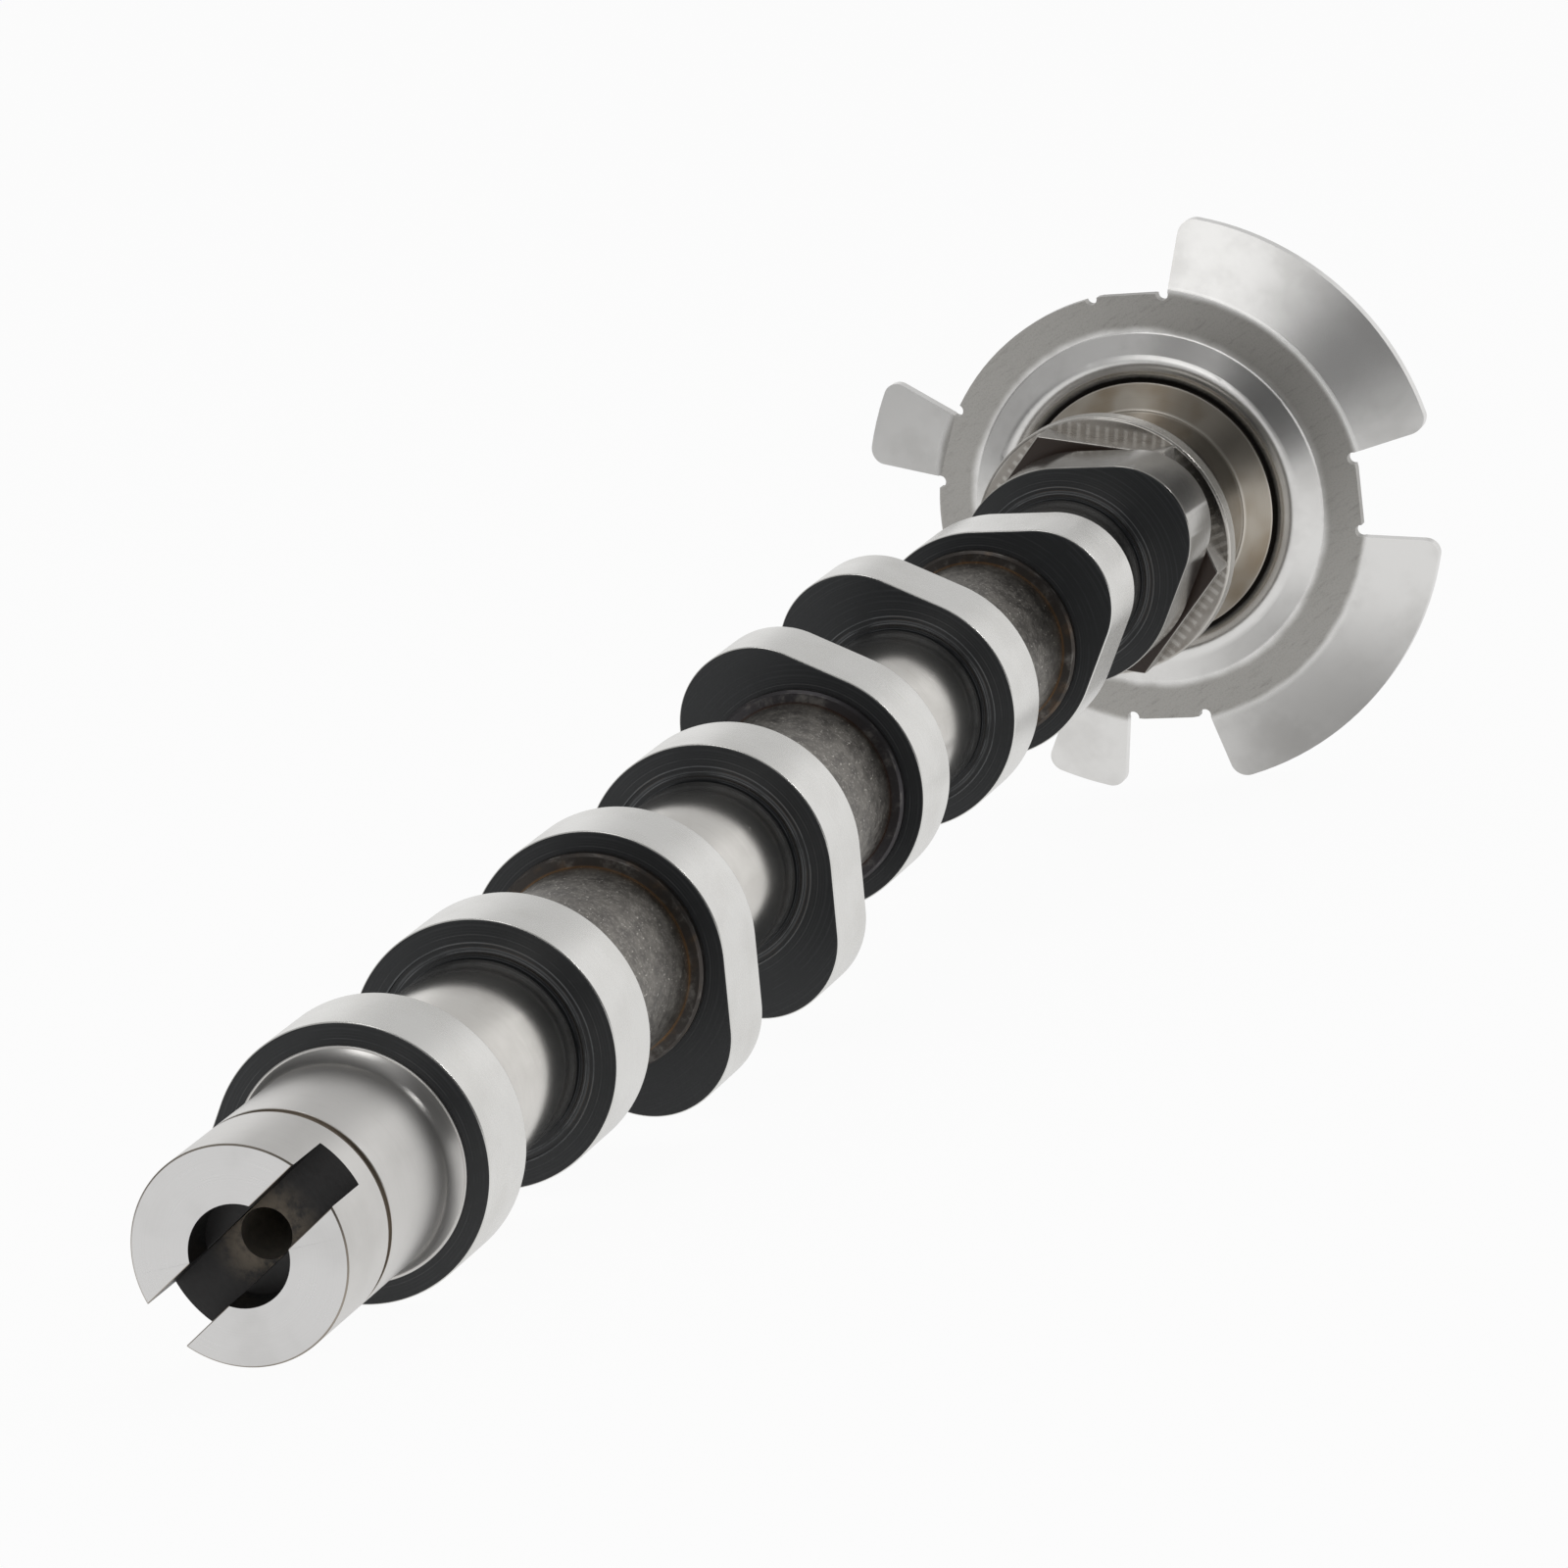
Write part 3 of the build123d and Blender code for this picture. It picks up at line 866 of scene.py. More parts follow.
class Finish(Enum):
    """Finishes of the camshaft's surfaces."""

    BAND = GroundSteel("running_band", tone=grey("E6E5E2"), stain=grey("CFCDC8"), rough=0.27)
    LAST_BAND = GroundSteel("last_band", tone=grey("B4B2AE"), stain=grey("6E6B68"), rough=0.14, lines=3.0)
    JOURNAL = GroundSteel("journal", tone=grey("DEDBD6"), stain=grey("BAB6AF"), rough=0.16)
    END_JOURNAL = GroundSteel("end_journal", tone=grey("D8D6D3"), stain=grey("C2C0BC"), rough=0.3)
    FRONT_JOURNAL = GroundSteel("front_journal", tone=grey("C2BFBA"), stain=grey("7E7A76"), rough=0.13)
    GROOVE = GroundSteel("ring_groove", tone=grey("A39B91"), stain=grey("6E665E"), rough=0.35)
    BLACK = BlackenedFace("lobe_side")
    COLLAR = CollarSteel("lobe_collar")
    HOT_COLLAR = CollarSteel("hot_collar", glow=0.2, tone=grey("4C4845"), rust=grey("94734E"))
    TUBE = DrawnTube("drawn_tube")
    END_FACE = FacedSteel("end_face")
    NOSE_FACE = FacedSteel("nose_face", tone=grey("BDBBB6"), stain=grey("94918B"), rough=0.34)
    CUT = CutSteel("milled_slot")
    BORE = CutSteel("oil_bore", tone=grey("A7A29A"), warm=grey("B5AFA5"))
    HEXAGON = SpannerSteel("hexagon")
    HEXAGON_FACE = BlackenedFace("hexagon_face", tone=grey("38291F"), mark=grey("6A5546"))
    SHOULDER = ShoulderSteel("shoulder")
    SHEET = PressedSheet("pressed_sheet")
    PIN = GroundSteel("dowel", tone=grey("C9C8C4"), stain=grey("A3A19C"), rough=0.25)


class Wardrobe:
    """Makes each finish once, when a piece first asks for it."""

    def __init__(self, pose: ShaftPose) -> None:
        """Keep the pose that the patterns follow."""
        self.pose = pose
        self.made: dict[Finish, bpy.types.Material] = {}

    def get(self, finish: Finish) -> bpy.types.Material:
        """Give the material of a finish.

        Args:
            finish: the finish.

        Returns:
            Its material, made at the first call.
        """
        if finish not in self.made:
            self.made[finish] = finish.value.make(self.pose)
        return self.made[finish]


Painter = Callable[[float, float, Vector], Finish]


class Blank:
    """A mesh in the making, in shaft coordinates and millimetres."""

    def __init__(self) -> None:
        """Start with nothing."""
        self.bm = bmesh.new()

    def wire(self, points: Sequence[Pair]) -> list[bmesh.types.BMVert]:
        """Draw a chain of edges.

        Args:
            points: (station, radius) points.

        Returns:
            The chain's vertices in order.
        """
        verts = [self.bm.verts.new((x, r, 0.0)) for x, r in points]
        for first, second in zip(verts, verts[1:]):
            self.bm.edges.new((first, second))
        return verts

    def round_off(self, vert: bmesh.types.BMVert, radius: float, segments: int = 4) -> None:
        """Round one corner of a wire.

        Args:
            vert: the corner.
            radius: radius of the arc that takes its place.
            segments: edges of that arc.
        """
        ends = [edge.other_vert(vert).co - vert.co for edge in vert.link_edges]
        turn = math.pi - ends[0].angle(ends[1])
        bmesh.ops.bevel(
            self.bm,
            geom=[vert],
            offset=radius * math.tan(turn / 2),
            offset_type="OFFSET",
            segments=segments,
            profile=0.5,
            affect="VERTICES",
            material=-1,
        )

    def turn(self, points: Sequence[Pair], rounds: dict[int, float] | None = None) -> None:
        """Turn a profile about the shaft.

        Args:
            points: (station, radius) points; one at radius 0 closes the end.
            rounds: radius of the corners that are rounded, by the point's place in the list.
        """
        old = set(self.bm.verts)
        verts = self.wire(points)
        for index, radius in (rounds or {}).items():
            self.round_off(verts[index], radius)
        fresh = [v for v in self.bm.verts if v not in old]
        bmesh.ops.spin(
            self.bm,
            geom=fresh + edges_at(fresh),
            cent=ORIGIN,
            axis=SHAFT,
            angle=math.tau,
            steps=ROUND,
            use_merge=True,
        )
        bmesh.ops.remove_doubles(self.bm, verts=self.bm.verts, dist=WELD)

    def rim(self, station: float, low: float, high: float) -> list[bmesh.types.BMEdge]:
        """Find open edges that lie across the shaft.

        Args:
            station: where they lie.
            low: least radius.
            high: greatest radius.

        Returns:
            The edges.
        """
        found = []
        for edge in self.bm.edges:
            flat = all(abs(vert.co.x - station) < ON_PLANE for vert in edge.verts)
            reach = [math.hypot(vert.co.y, vert.co.z) for vert in edge.verts]
            if flat and edge.is_boundary and low <= min(reach) and max(reach) <= high:
                found.append(edge)
        return found

    def circle(self, station: float, radius: float) -> list[bmesh.types.BMEdge]:
        """Open edges of a circle about the shaft."""
        return self.rim(station, radius - RIM_SLACK, radius + RIM_SLACK)

    def fill_ring(self, edges: Sequence[bmesh.types.BMEdge]) -> None:
        """Fill the flat ring between an outer and an inner loop of edges."""
        bmesh.ops.triangle_fill(self.bm, use_beauty=True, edges=list(edges), normal=SHAFT)

    def soften(self, edges: Sequence[bmesh.types.BMEdge], offset: float, segments: int = 2) -> None:
        """Bevel edges.

        Args:
            edges: the edges.
            offset: width of the bevel on each face.
            segments: faces across it.
        """
        bmesh.ops.bevel(
            self.bm,
            geom=list(edges),
            offset=offset,
            offset_type="OFFSET",
            segments=segments,
            profile=0.5,
            affect="EDGES",
            material=-1,
        )

    def sharp_edges(self, degrees: float = 35.0) -> list[bmesh.types.BMEdge]:
        """Edges whose two faces meet at more than an angle."""
        limit = math.radians(degrees)
        return [e for e in self.bm.edges if len(e.link_faces) == 2 and e.calc_face_angle(0.0) > limit]

    def flat_rims(self) -> list[bmesh.types.BMEdge]:
        """Find the edges round the faces that lie square across the shaft.

        Returns:
            The edges.
        """
        found = []
        for edge in self.bm.edges:
            across = [abs(face.normal.x) > SQUARE for face in edge.link_faces]
            if any(across) and not all(across):
                found.append(edge)
        return found

    def fill_in(self, name: str) -> bpy.types.Object:
        """Make a loose object of the mesh so far, for a cut.

        Args:
            name: the object's name.

        Returns:
            The object, linked into the scene.
        """
        bmesh.ops.recalc_face_normals(self.bm, faces=self.bm.faces)
        mesh = bpy.data.meshes.new(name)
        self.bm.to_mesh(mesh)
        made = bpy.data.objects.new(name, mesh)
        bpy.context.scene.collection.objects.link(made)
        return made

    def cut(self, tool: Blank) -> None:
        """Take away what a tool covers.

        Args:
            tool: closed mesh, which is used up.
        """
        stock, cutter = self.fill_in("stock"), tool.fill_in("cutter")
        removal = stock.modifiers.new("cut", "BOOLEAN")
        removal.operation = "DIFFERENCE"
        removal.solver = "EXACT"
        removal.object = cutter
        graph = bpy.context.evaluated_depsgraph_get()
        result = bpy.data.meshes.new_from_object(stock.evaluated_get(graph))
        self.bm.clear()
        self.bm.from_mesh(result)
        tool.bm.free()
        bpy.data.meshes.remove(result)
        for loose in (stock, cutter):
            bpy.data.meshes.remove(loose.data)


@dataclass
class Piece:
    """A finished piece on its way into the scene.

    Attributes:
        name: the object's name.
        blank: its mesh, in shaft coordinates.
        stands_for: the CAD node that it replaces.
        slot: the record's material slot; not used.
    """

    name: str
    blank: Blank
    stands_for: str
    slot: str

    def finish(self, pose: ShaftPose, wardrobe: Wardrobe, painter: Painter) -> bpy.types.Object:
        """Paint, lay down and hand over the piece.

        Args:
            pose: where the shaft lies.
            wardrobe: maker of the materials.
            painter: gives the finish at a station and a radius, with the face's normal.

        Returns:
            The object, riding on the part's body.
        """
        bm = self.blank.bm
        bmesh.ops.recalc_face_normals(bm, faces=bm.faces)
        slots: list[Finish] = []
        for face in bm.faces:
            centre = face.calc_center_median()
            choice = painter(centre.x, math.hypot(centre.y, centre.z), face.normal)
            if choice not in slots:
                slots.append(choice)
            face.material_index = slots.index(choice)
            face.smooth = True
        for edge in self.blank.sharp_edges() + self.blank.flat_rims():
            edge.smooth = False
        bmesh.ops.transform(bm, matrix=pose.matrix @ Matrix.Scale(MM, 4), verts=bm.verts)
        mesh = bpy.data.meshes.new(self.name)
        bm.to_mesh(mesh)
        bm.free()
        for choice in slots:
            mesh.materials.append(wardrobe.get(choice))
        made = bpy.data.objects.new(self.name, mesh)
        bpy.context.scene.collection.objects.link(made)
        even = made.modifiers.new("even_normals", "WEIGHTED_NORMAL")
        even.keep_sharp = True
        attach(made, BODY)
        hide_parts(self.stands_for)
        LOG.info("%s: %d faces, %d finishes", self.name, len(mesh.polygons), len(slots))
        return made


@dataclass(frozen=True)
class Layout:
    """Stations and radii that the pieces share."""

    first_lobe: float = 36.2
    pitch: float = 90.0
    spacing: float = 46.65
    lobe_width: float = 13.0
    tube_radius: float = 13.0
    tube_bore: float = 8.0
    cylinders: int = 4
    hexagon: float = 368.8

    def lobe(self, number: int) -> float:
        """Give a lobe's place.

        Args:
            number: the lobe, from 1 at the slotted end.

        Returns:
            Station of its face on the slotted side.
        """
        cylinder, place = divmod(number - 1, 2)
        return self.first_lobe + cylinder * self.pitch + place * self.spacing


@dataclass(frozen=True)
class CamLobe:
    """One lobe, built with its collar on the far side and mirrored where it is the first of a pair.

    Attributes:
        number: the lobe, from 1 at the slotted end.
        layout: the stations that the pieces share.
        rim_reach: how far inside the base circle the softened rim may lie.
        black_from: part of a face's normal along the shaft from which the side is black.
        hot: lobes whose collars are tinted by heat.
    """

    number: int
    layout: Layout
    base_radius: float = 17.5
    nose_radius: float = 11.6
    lift: float = 5.1
    relief_radius: float = 14.3
    relief_depth: float = 0.25
    collar_radius: float = 14.8
    collar_height: float = 1.3
    collar_chamfer: float = 0.4
    edge: float = 0.3
    edge_angle: float = 60.0
    edge_segments: int = 3
    rim_reach: float = 0.6
    black_from: float = 0.96
    nose_angles: tuple[float, ...] = (90.0, 0.0, 180.0, 270.0)
    base_steps: int = 130
    nose_steps: int = 50
    hot: Sequence[int] = (3, 7)

    @property
    def nose_offset(self) -> float:
        """Distance from the shaft's axis to the nose's centre."""
        return self.base_radius + self.lift - self.nose_radius

    def _arc(
        self, blank: Blank, centre: Pair, radius: float, start: float, sweep: float, steps: int
    ) -> tuple[bmesh.types.BMVert, bmesh.types.BMVert]:
        """Draw an arc of edges across the shaft.

        Args:
            blank: the mesh that gets it.
            centre: its centre across the shaft.
            radius: its radius.
            start: angle at which it starts, in degrees.
            sweep: angle that it goes through.
            steps: its number of edges.

        Returns:
            Its first and last vertex.
        """
        y, z = polar(radius, start)
        first = blank.bm.verts.new((0.0, centre[0] + y, centre[1] + z))
        made = bmesh.ops.spin(
            blank.bm,
            geom=[first],
            cent=(0.0, centre[0], centre[1]),
            axis=SHAFT,
            angle=math.radians(sweep),
            steps=steps,
        )
        return first, next(item for item in made["geom_last"] if isinstance(item, bmesh.types.BMVert))

    def _outline(self, blank: Blank) -> None:
        """Make the running band: base circle, nose circle and flanks, drawn out to the width.

        Args:
            blank: the empty mesh that gets it.
        """
        turn = math.degrees(math.acos((self.base_radius - self.nose_radius) / self.nose_offset))
        base = self._arc(blank, (0.0, 0.0), self.base_radius, turn, 360 - 2 * turn, self.base_steps)
        tip = (self.nose_offset, 0.0)
        nose = self._arc(blank, tip, self.nose_radius, -turn, 2 * turn, self.nose_steps)
        blank.bm.edges.new((base[1], nose[0]))
        blank.bm.edges.new((nose[1], base[0]))
        bmesh.ops.contextual_create(blank.bm, geom=list(blank.bm.edges))
        drawn = bmesh.ops.extrude_face_region(blank.bm, geom=list(blank.bm.faces), use_keep_orig=True)
        moved = [item for item in drawn["geom"] if isinstance(item, bmesh.types.BMVert)]
        bmesh.ops.translate(blank.bm, verts=moved, vec=SHAFT * self.layout.lobe_width)
        blank.soften(blank.sharp_edges(self.edge_angle), self.edge, self.edge_segments)
        caps = [face for face in blank.bm.faces if abs(face.normal.x) > SQUARE]
        bmesh.ops.delete(blank.bm, geom=caps, context="FACES_ONLY")

    def build(self) -> Blank:
        """Make the lobe in its place.

        Returns:
            Its mesh.
        """
        blank = Blank()
        self._outline(blank)
        width = self.layout.lobe_width
        bore = self.layout.tube_radius
        outer = (self.base_radius - self.rim_reach, self.base_radius + self.lift)
        near_rim = blank.rim(0.0, *outer)
        far_rim = blank.rim(width, *outer)
        blank.turn((
            (0.0, self.relief_radius),
            (self.relief_depth, self.relief_radius),
            (self.relief_depth, bore),
        ))
        blank.fill_ring(near_rim + blank.circle(0.0, self.relief_radius))
        top = width + self.collar_height if self.number > 1 else width
        if self.number > 1:
            blank.turn((
                (width, self.collar_radius),
                (top - self.collar_chamfer, self.collar_radius),
                (top, self.collar_radius - self.collar_chamfer),
                (top, bore),
            ))
            inner = blank.circle(width, self.collar_radius)
        else:
            ring = bmesh.ops.create_circle(blank.bm, cap_ends=False, radius=bore, segments=ROUND)
            across = Matrix.Translation(SHAFT * width) @ Matrix.Rotation(math.radians(90), 4, "Y")
            bmesh.ops.transform(blank.bm, matrix=across, verts=ring["verts"])
            inner = edges_at(ring["verts"])
        blank.fill_ring(far_rim + inner)
        wall = blank.circle(self.relief_depth, bore) + blank.circle(top, bore)
        bmesh.ops.bridge_loops(blank.bm, edges=wall)
        if self.number % 2:
            bmesh.ops.scale(blank.bm, vec=(-1.0, 1.0, 1.0), verts=blank.bm.verts)
            bmesh.ops.translate(blank.bm, verts=blank.bm.verts, vec=SHAFT * width)
        turn = Matrix.Rotation(math.radians(self.nose_angles[(self.number - 1) // 2]), 3, "X")
        bmesh.ops.rotate(blank.bm, cent=ORIGIN, matrix=turn, verts=blank.bm.verts)
        bmesh.ops.translate(blank.bm, verts=blank.bm.verts, vec=SHAFT * self.layout.lobe(self.number))
        return blank

    def paint(self, station: float, radius: float, normal: Vector) -> Finish:
        """Choose the finish of a face.

        Args:
            station: the face's place along the shaft.
            radius: its distance from the shaft's axis.
            normal: its direction in shaft coordinates.

        Returns:
            The finish.
        """
        start = self.layout.lobe(self.number)
        inside = start - TOUCH < station < start + self.layout.lobe_width + TOUCH
        if not inside:
            return Finish.HOT_COLLAR if self.number in self.hot else Finish.COLLAR
        if abs(normal.x) > self.black_from or radius < self.collar_radius + TOUCH:
            return Finish.BLACK
        return Finish.LAST_BAND if self.number == 2 * self.layout.cylinders else Finish.BAND

    def add(self, pose: ShaftPose, wardrobe: Wardrobe) -> None:
        """Put the lobe in the scene."""
        piece = Piece(f"lobe_{self.number}", self.build(), f"cam_lobe_{self.number}", "lobe_steel")
        piece.finish(pose, wardrobe, self.paint)


@dataclass(frozen=True)
class ShaftTube:
    """Tube that carries the lobes, ground to journals between the lobes of a pair."""

    layout: Layout
    journal_radius: float = 12.5
    undercut_width: float = 0.8
    undercut_depth: float = 0.25

    def build(self) -> Blank:
        """Make the tube.

        Returns:
            Its mesh.
        """
        blank = Blank()
        outer = self.layout.tube_radius
        low = self.journal_radius - self.undercut_depth
        points: list[Pair] = [(self.layout.first_lobe, outer)]
        for number in range(1, 2 * self.layout.cylinders, 2):
            start = self.layout.lobe(number) + self.layout.lobe_width
            end = self.layout.lobe(number + 1)
            points += [
                (start, outer),
                (start, low),
                (start + self.undercut_width, low),
                (start + self.undercut_width, self.journal_radius),
                (end - self.undercut_width, self.journal_radius),
                (end - self.undercut_width, low),
                (end, low),
                (end, outer),
            ]
        points += [
            (self.layout.hexagon, outer),
            (self.layout.hexagon, self.layout.tube_bore),
            (self.layout.first_lobe, self.layout.tube_bore),
            (self.layout.first_lobe, outer),
        ]
        blank.turn(points)
        return blank

    def paint(self, station: float, radius: float, normal: Vector) -> Finish:
        """Choose the finish of a face.

        Args:
            station: the face's place along the shaft.
            radius: its distance from the shaft's axis.
            normal: its direction in shaft coordinates.

        Returns:
            The finish.
        """
        place = (station - self.layout.first_lobe) % self.layout.pitch
        between = place < self.layout.spacing + self.layout.lobe_width
        if not between or radius >= self.layout.tube_radius - RIM_SLACK:
            return Finish.TUBE
        ground = radius > self.journal_radius - RIM_SLACK and abs(normal.x) < SLANTED
        return Finish.JOURNAL if ground else Finish.BLACK

    def add(self, pose: ShaftPose, wardrobe: Wardrobe) -> None:
        """Put the tube in the scene."""
        piece = Piece("tube", self.build(), "shaft_tube", "tube_steel")
        piece.finish(pose, wardrobe, self.paint)


@dataclass(frozen=True)
class SlottedEnd:
    """Driving dog with its slot, ring groove and oil bore, and the journal that flares to lobe 1.

    Attributes:
        flare_share: share of the flare's whole arc that its corner is rounded to.
        slot_edge_angle: angle past which an edge of the slot counts as sharp.
        wall: how far inside the end's radius the slot's walls end.
        wall_tilt: least part of their normals along the shaft.
        face_reach: station behind which an end face is the slot's floor, and how far past the slot.
        groove_slack: how far under the end's radius the groove's faces lie at least.
        chamfer_tilt: least part of the chamfer's normal along the shaft.
    """

    layout: Layout
    radius: float = 13.35
    chamfer: float = 0.2
    groove_station: float = 13.7
    groove_width: float = 1.3
    groove_depth: float = 0.4
    flare_radius: float = 14.7
    flare_length: float = 3.7
    lip_width: float = 0.5
    lip_height: float = 0.3
    slot_width: float = 6.5
    slot_depth: float = 8.8
    slot_angle: float = 82.4
    counterbore_radius: float = 6.25
    counterbore_depth: float = 5.5
    bore_radius: float = 3.15
    spigot_length: float = 22.0
    spigot_chamfer: float = 1.0
    edge: float = 0.12
    lip_edge: float = 0.16
    flare_share: float = 0.97
    slot_edge_angle: float = 20.0
    wall: float = 0.3
    wall_tilt: float = -0.2
    face_reach: Pair = (0.05, 1.0)
    groove_slack: float = 0.02
    chamfer_tilt: float = -0.95

    def build(self) -> Blank:
        """Turn the blank, then cut the slot.

        Returns:
            The mesh.
        """
        blank = Blank()
        lobe = self.layout.first_lobe
        rise = self.flare_radius - self.lip_height - self.radius
        reach = self.flare_length - self.lip_width
        bend = (reach**2 + rise**2) / (2 * rise)
        half_turn = math.asin(reach / bend) / 2
        flare_end = lobe - self.lip_width
        flare_corner = flare_end - reach + bend * math.tan(half_turn)
        groove = [self.groove_station + half * self.groove_width for half in (-0.5, 0.5)]
        spigot_end = lobe + self.spigot_length
        points = [
            (self.counterbore_depth, self.bore_radius),
            (self.counterbore_depth, self.counterbore_radius),
            (0.0, self.counterbore_radius),
            (0.0, self.radius - self.chamfer),
            (self.chamfer, self.radius),
            (groove[0], self.radius),
            (groove[0], self.radius - self.groove_depth),
            (groove[1], self.radius - self.groove_depth),
            (groove[1], self.radius),
            (flare_corner, self.radius),
            (flare_end, self.flare_radius - self.lip_height),
            (flare_end, self.flare_radius),
            (lobe, self.flare_radius),
            (lobe, self.layout.tube_bore),
            (spigot_end - self.spigot_chamfer, self.layout.tube_bore),
            (spigot_end, self.layout.tube_bore - self.spigot_chamfer),
            (spigot_end, self.bore_radius),
            (self.counterbore_depth, self.bore_radius),
        ]
        blank.turn(points, {5: self.edge, 8: self.edge, 9: bend * self.flare_share, 11: self.lip_edge})
        self._cut_slot(blank)
        return blank

    def _cut_slot(self, blank: Blank) -> None:
        """Mill the slot across the end and ease its edges.

        Args:
            blank: the turned end.
        """
        tool = Blank()
        bmesh.ops.create_cube(tool.bm, size=1.0)
        size = Matrix.Diagonal((2 * self.slot_depth, 4 * self.radius, self.slot_width, 1.0))
        roll = Matrix.Rotation(math.radians(self.slot_angle), 4, "X")
        bmesh.ops.transform(tool.bm, matrix=roll @ size, verts=tool.bm.verts)
        blank.cut(tool)
        across = Matrix.Rotation(math.radians(-self.slot_angle), 3, "X")
        wall = self.slot_width / 2
        rims = []
        for edge in blank.sharp_edges(self.slot_edge_angle):
            turned = [across @ vert.co for vert in edge.verts]
            beside = all(abs(abs(place.z) - wall) < ON_PLANE for place in turned)
            if beside and max(place.x for place in turned) < self.slot_depth - TOUCH:
                rims.append(edge)
        blank.soften(rims, self.edge)

    def paint(self, station: float, radius: float, normal: Vector) -> Finish:
        """Choose the finish of a face.

        Args:
            station: the face's place along the shaft.
            radius: its distance from the shaft's axis.
            normal: its direction in shaft coordinates.

        Returns:
            The finish.
        """
        groove = abs(station - self.groove_station) < self.groove_width / 2 + TOUCH
        end_face, past_slot = self.face_reach
        if radius < self.bore_radius + TOUCH and abs(normal.x) < SLANTED:
            return Finish.BORE
        in_slot = station < self.slot_depth + TOUCH and radius < self.radius - self.wall
        if in_slot and normal.x > self.wall_tilt:
            return Finish.CUT
        floor = normal.x < -ENDWAYS and end_face < station < self.slot_depth + past_slot
        if floor or radius < self.counterbore_radius + TOUCH:
            return Finish.CUT
        in_groove = groove and radius < self.radius - self.groove_slack
        if in_groove or (station < self.chamfer and normal.x > self.chamfer_tilt):
            return Finish.GROOVE
        if normal.x < -ENDWAYS and station < self.chamfer:
            return Finish.END_FACE
        return Finish.END_JOURNAL

    def add(self, pose: ShaftPose, wardrobe: Wardrobe) -> None:
        """Put the slotted end in the scene."""
        piece = Piece("slotted_end_dressed", self.build(), "slotted_end", "turned_steel")
        piece.finish(pose, wardrobe, self.paint)


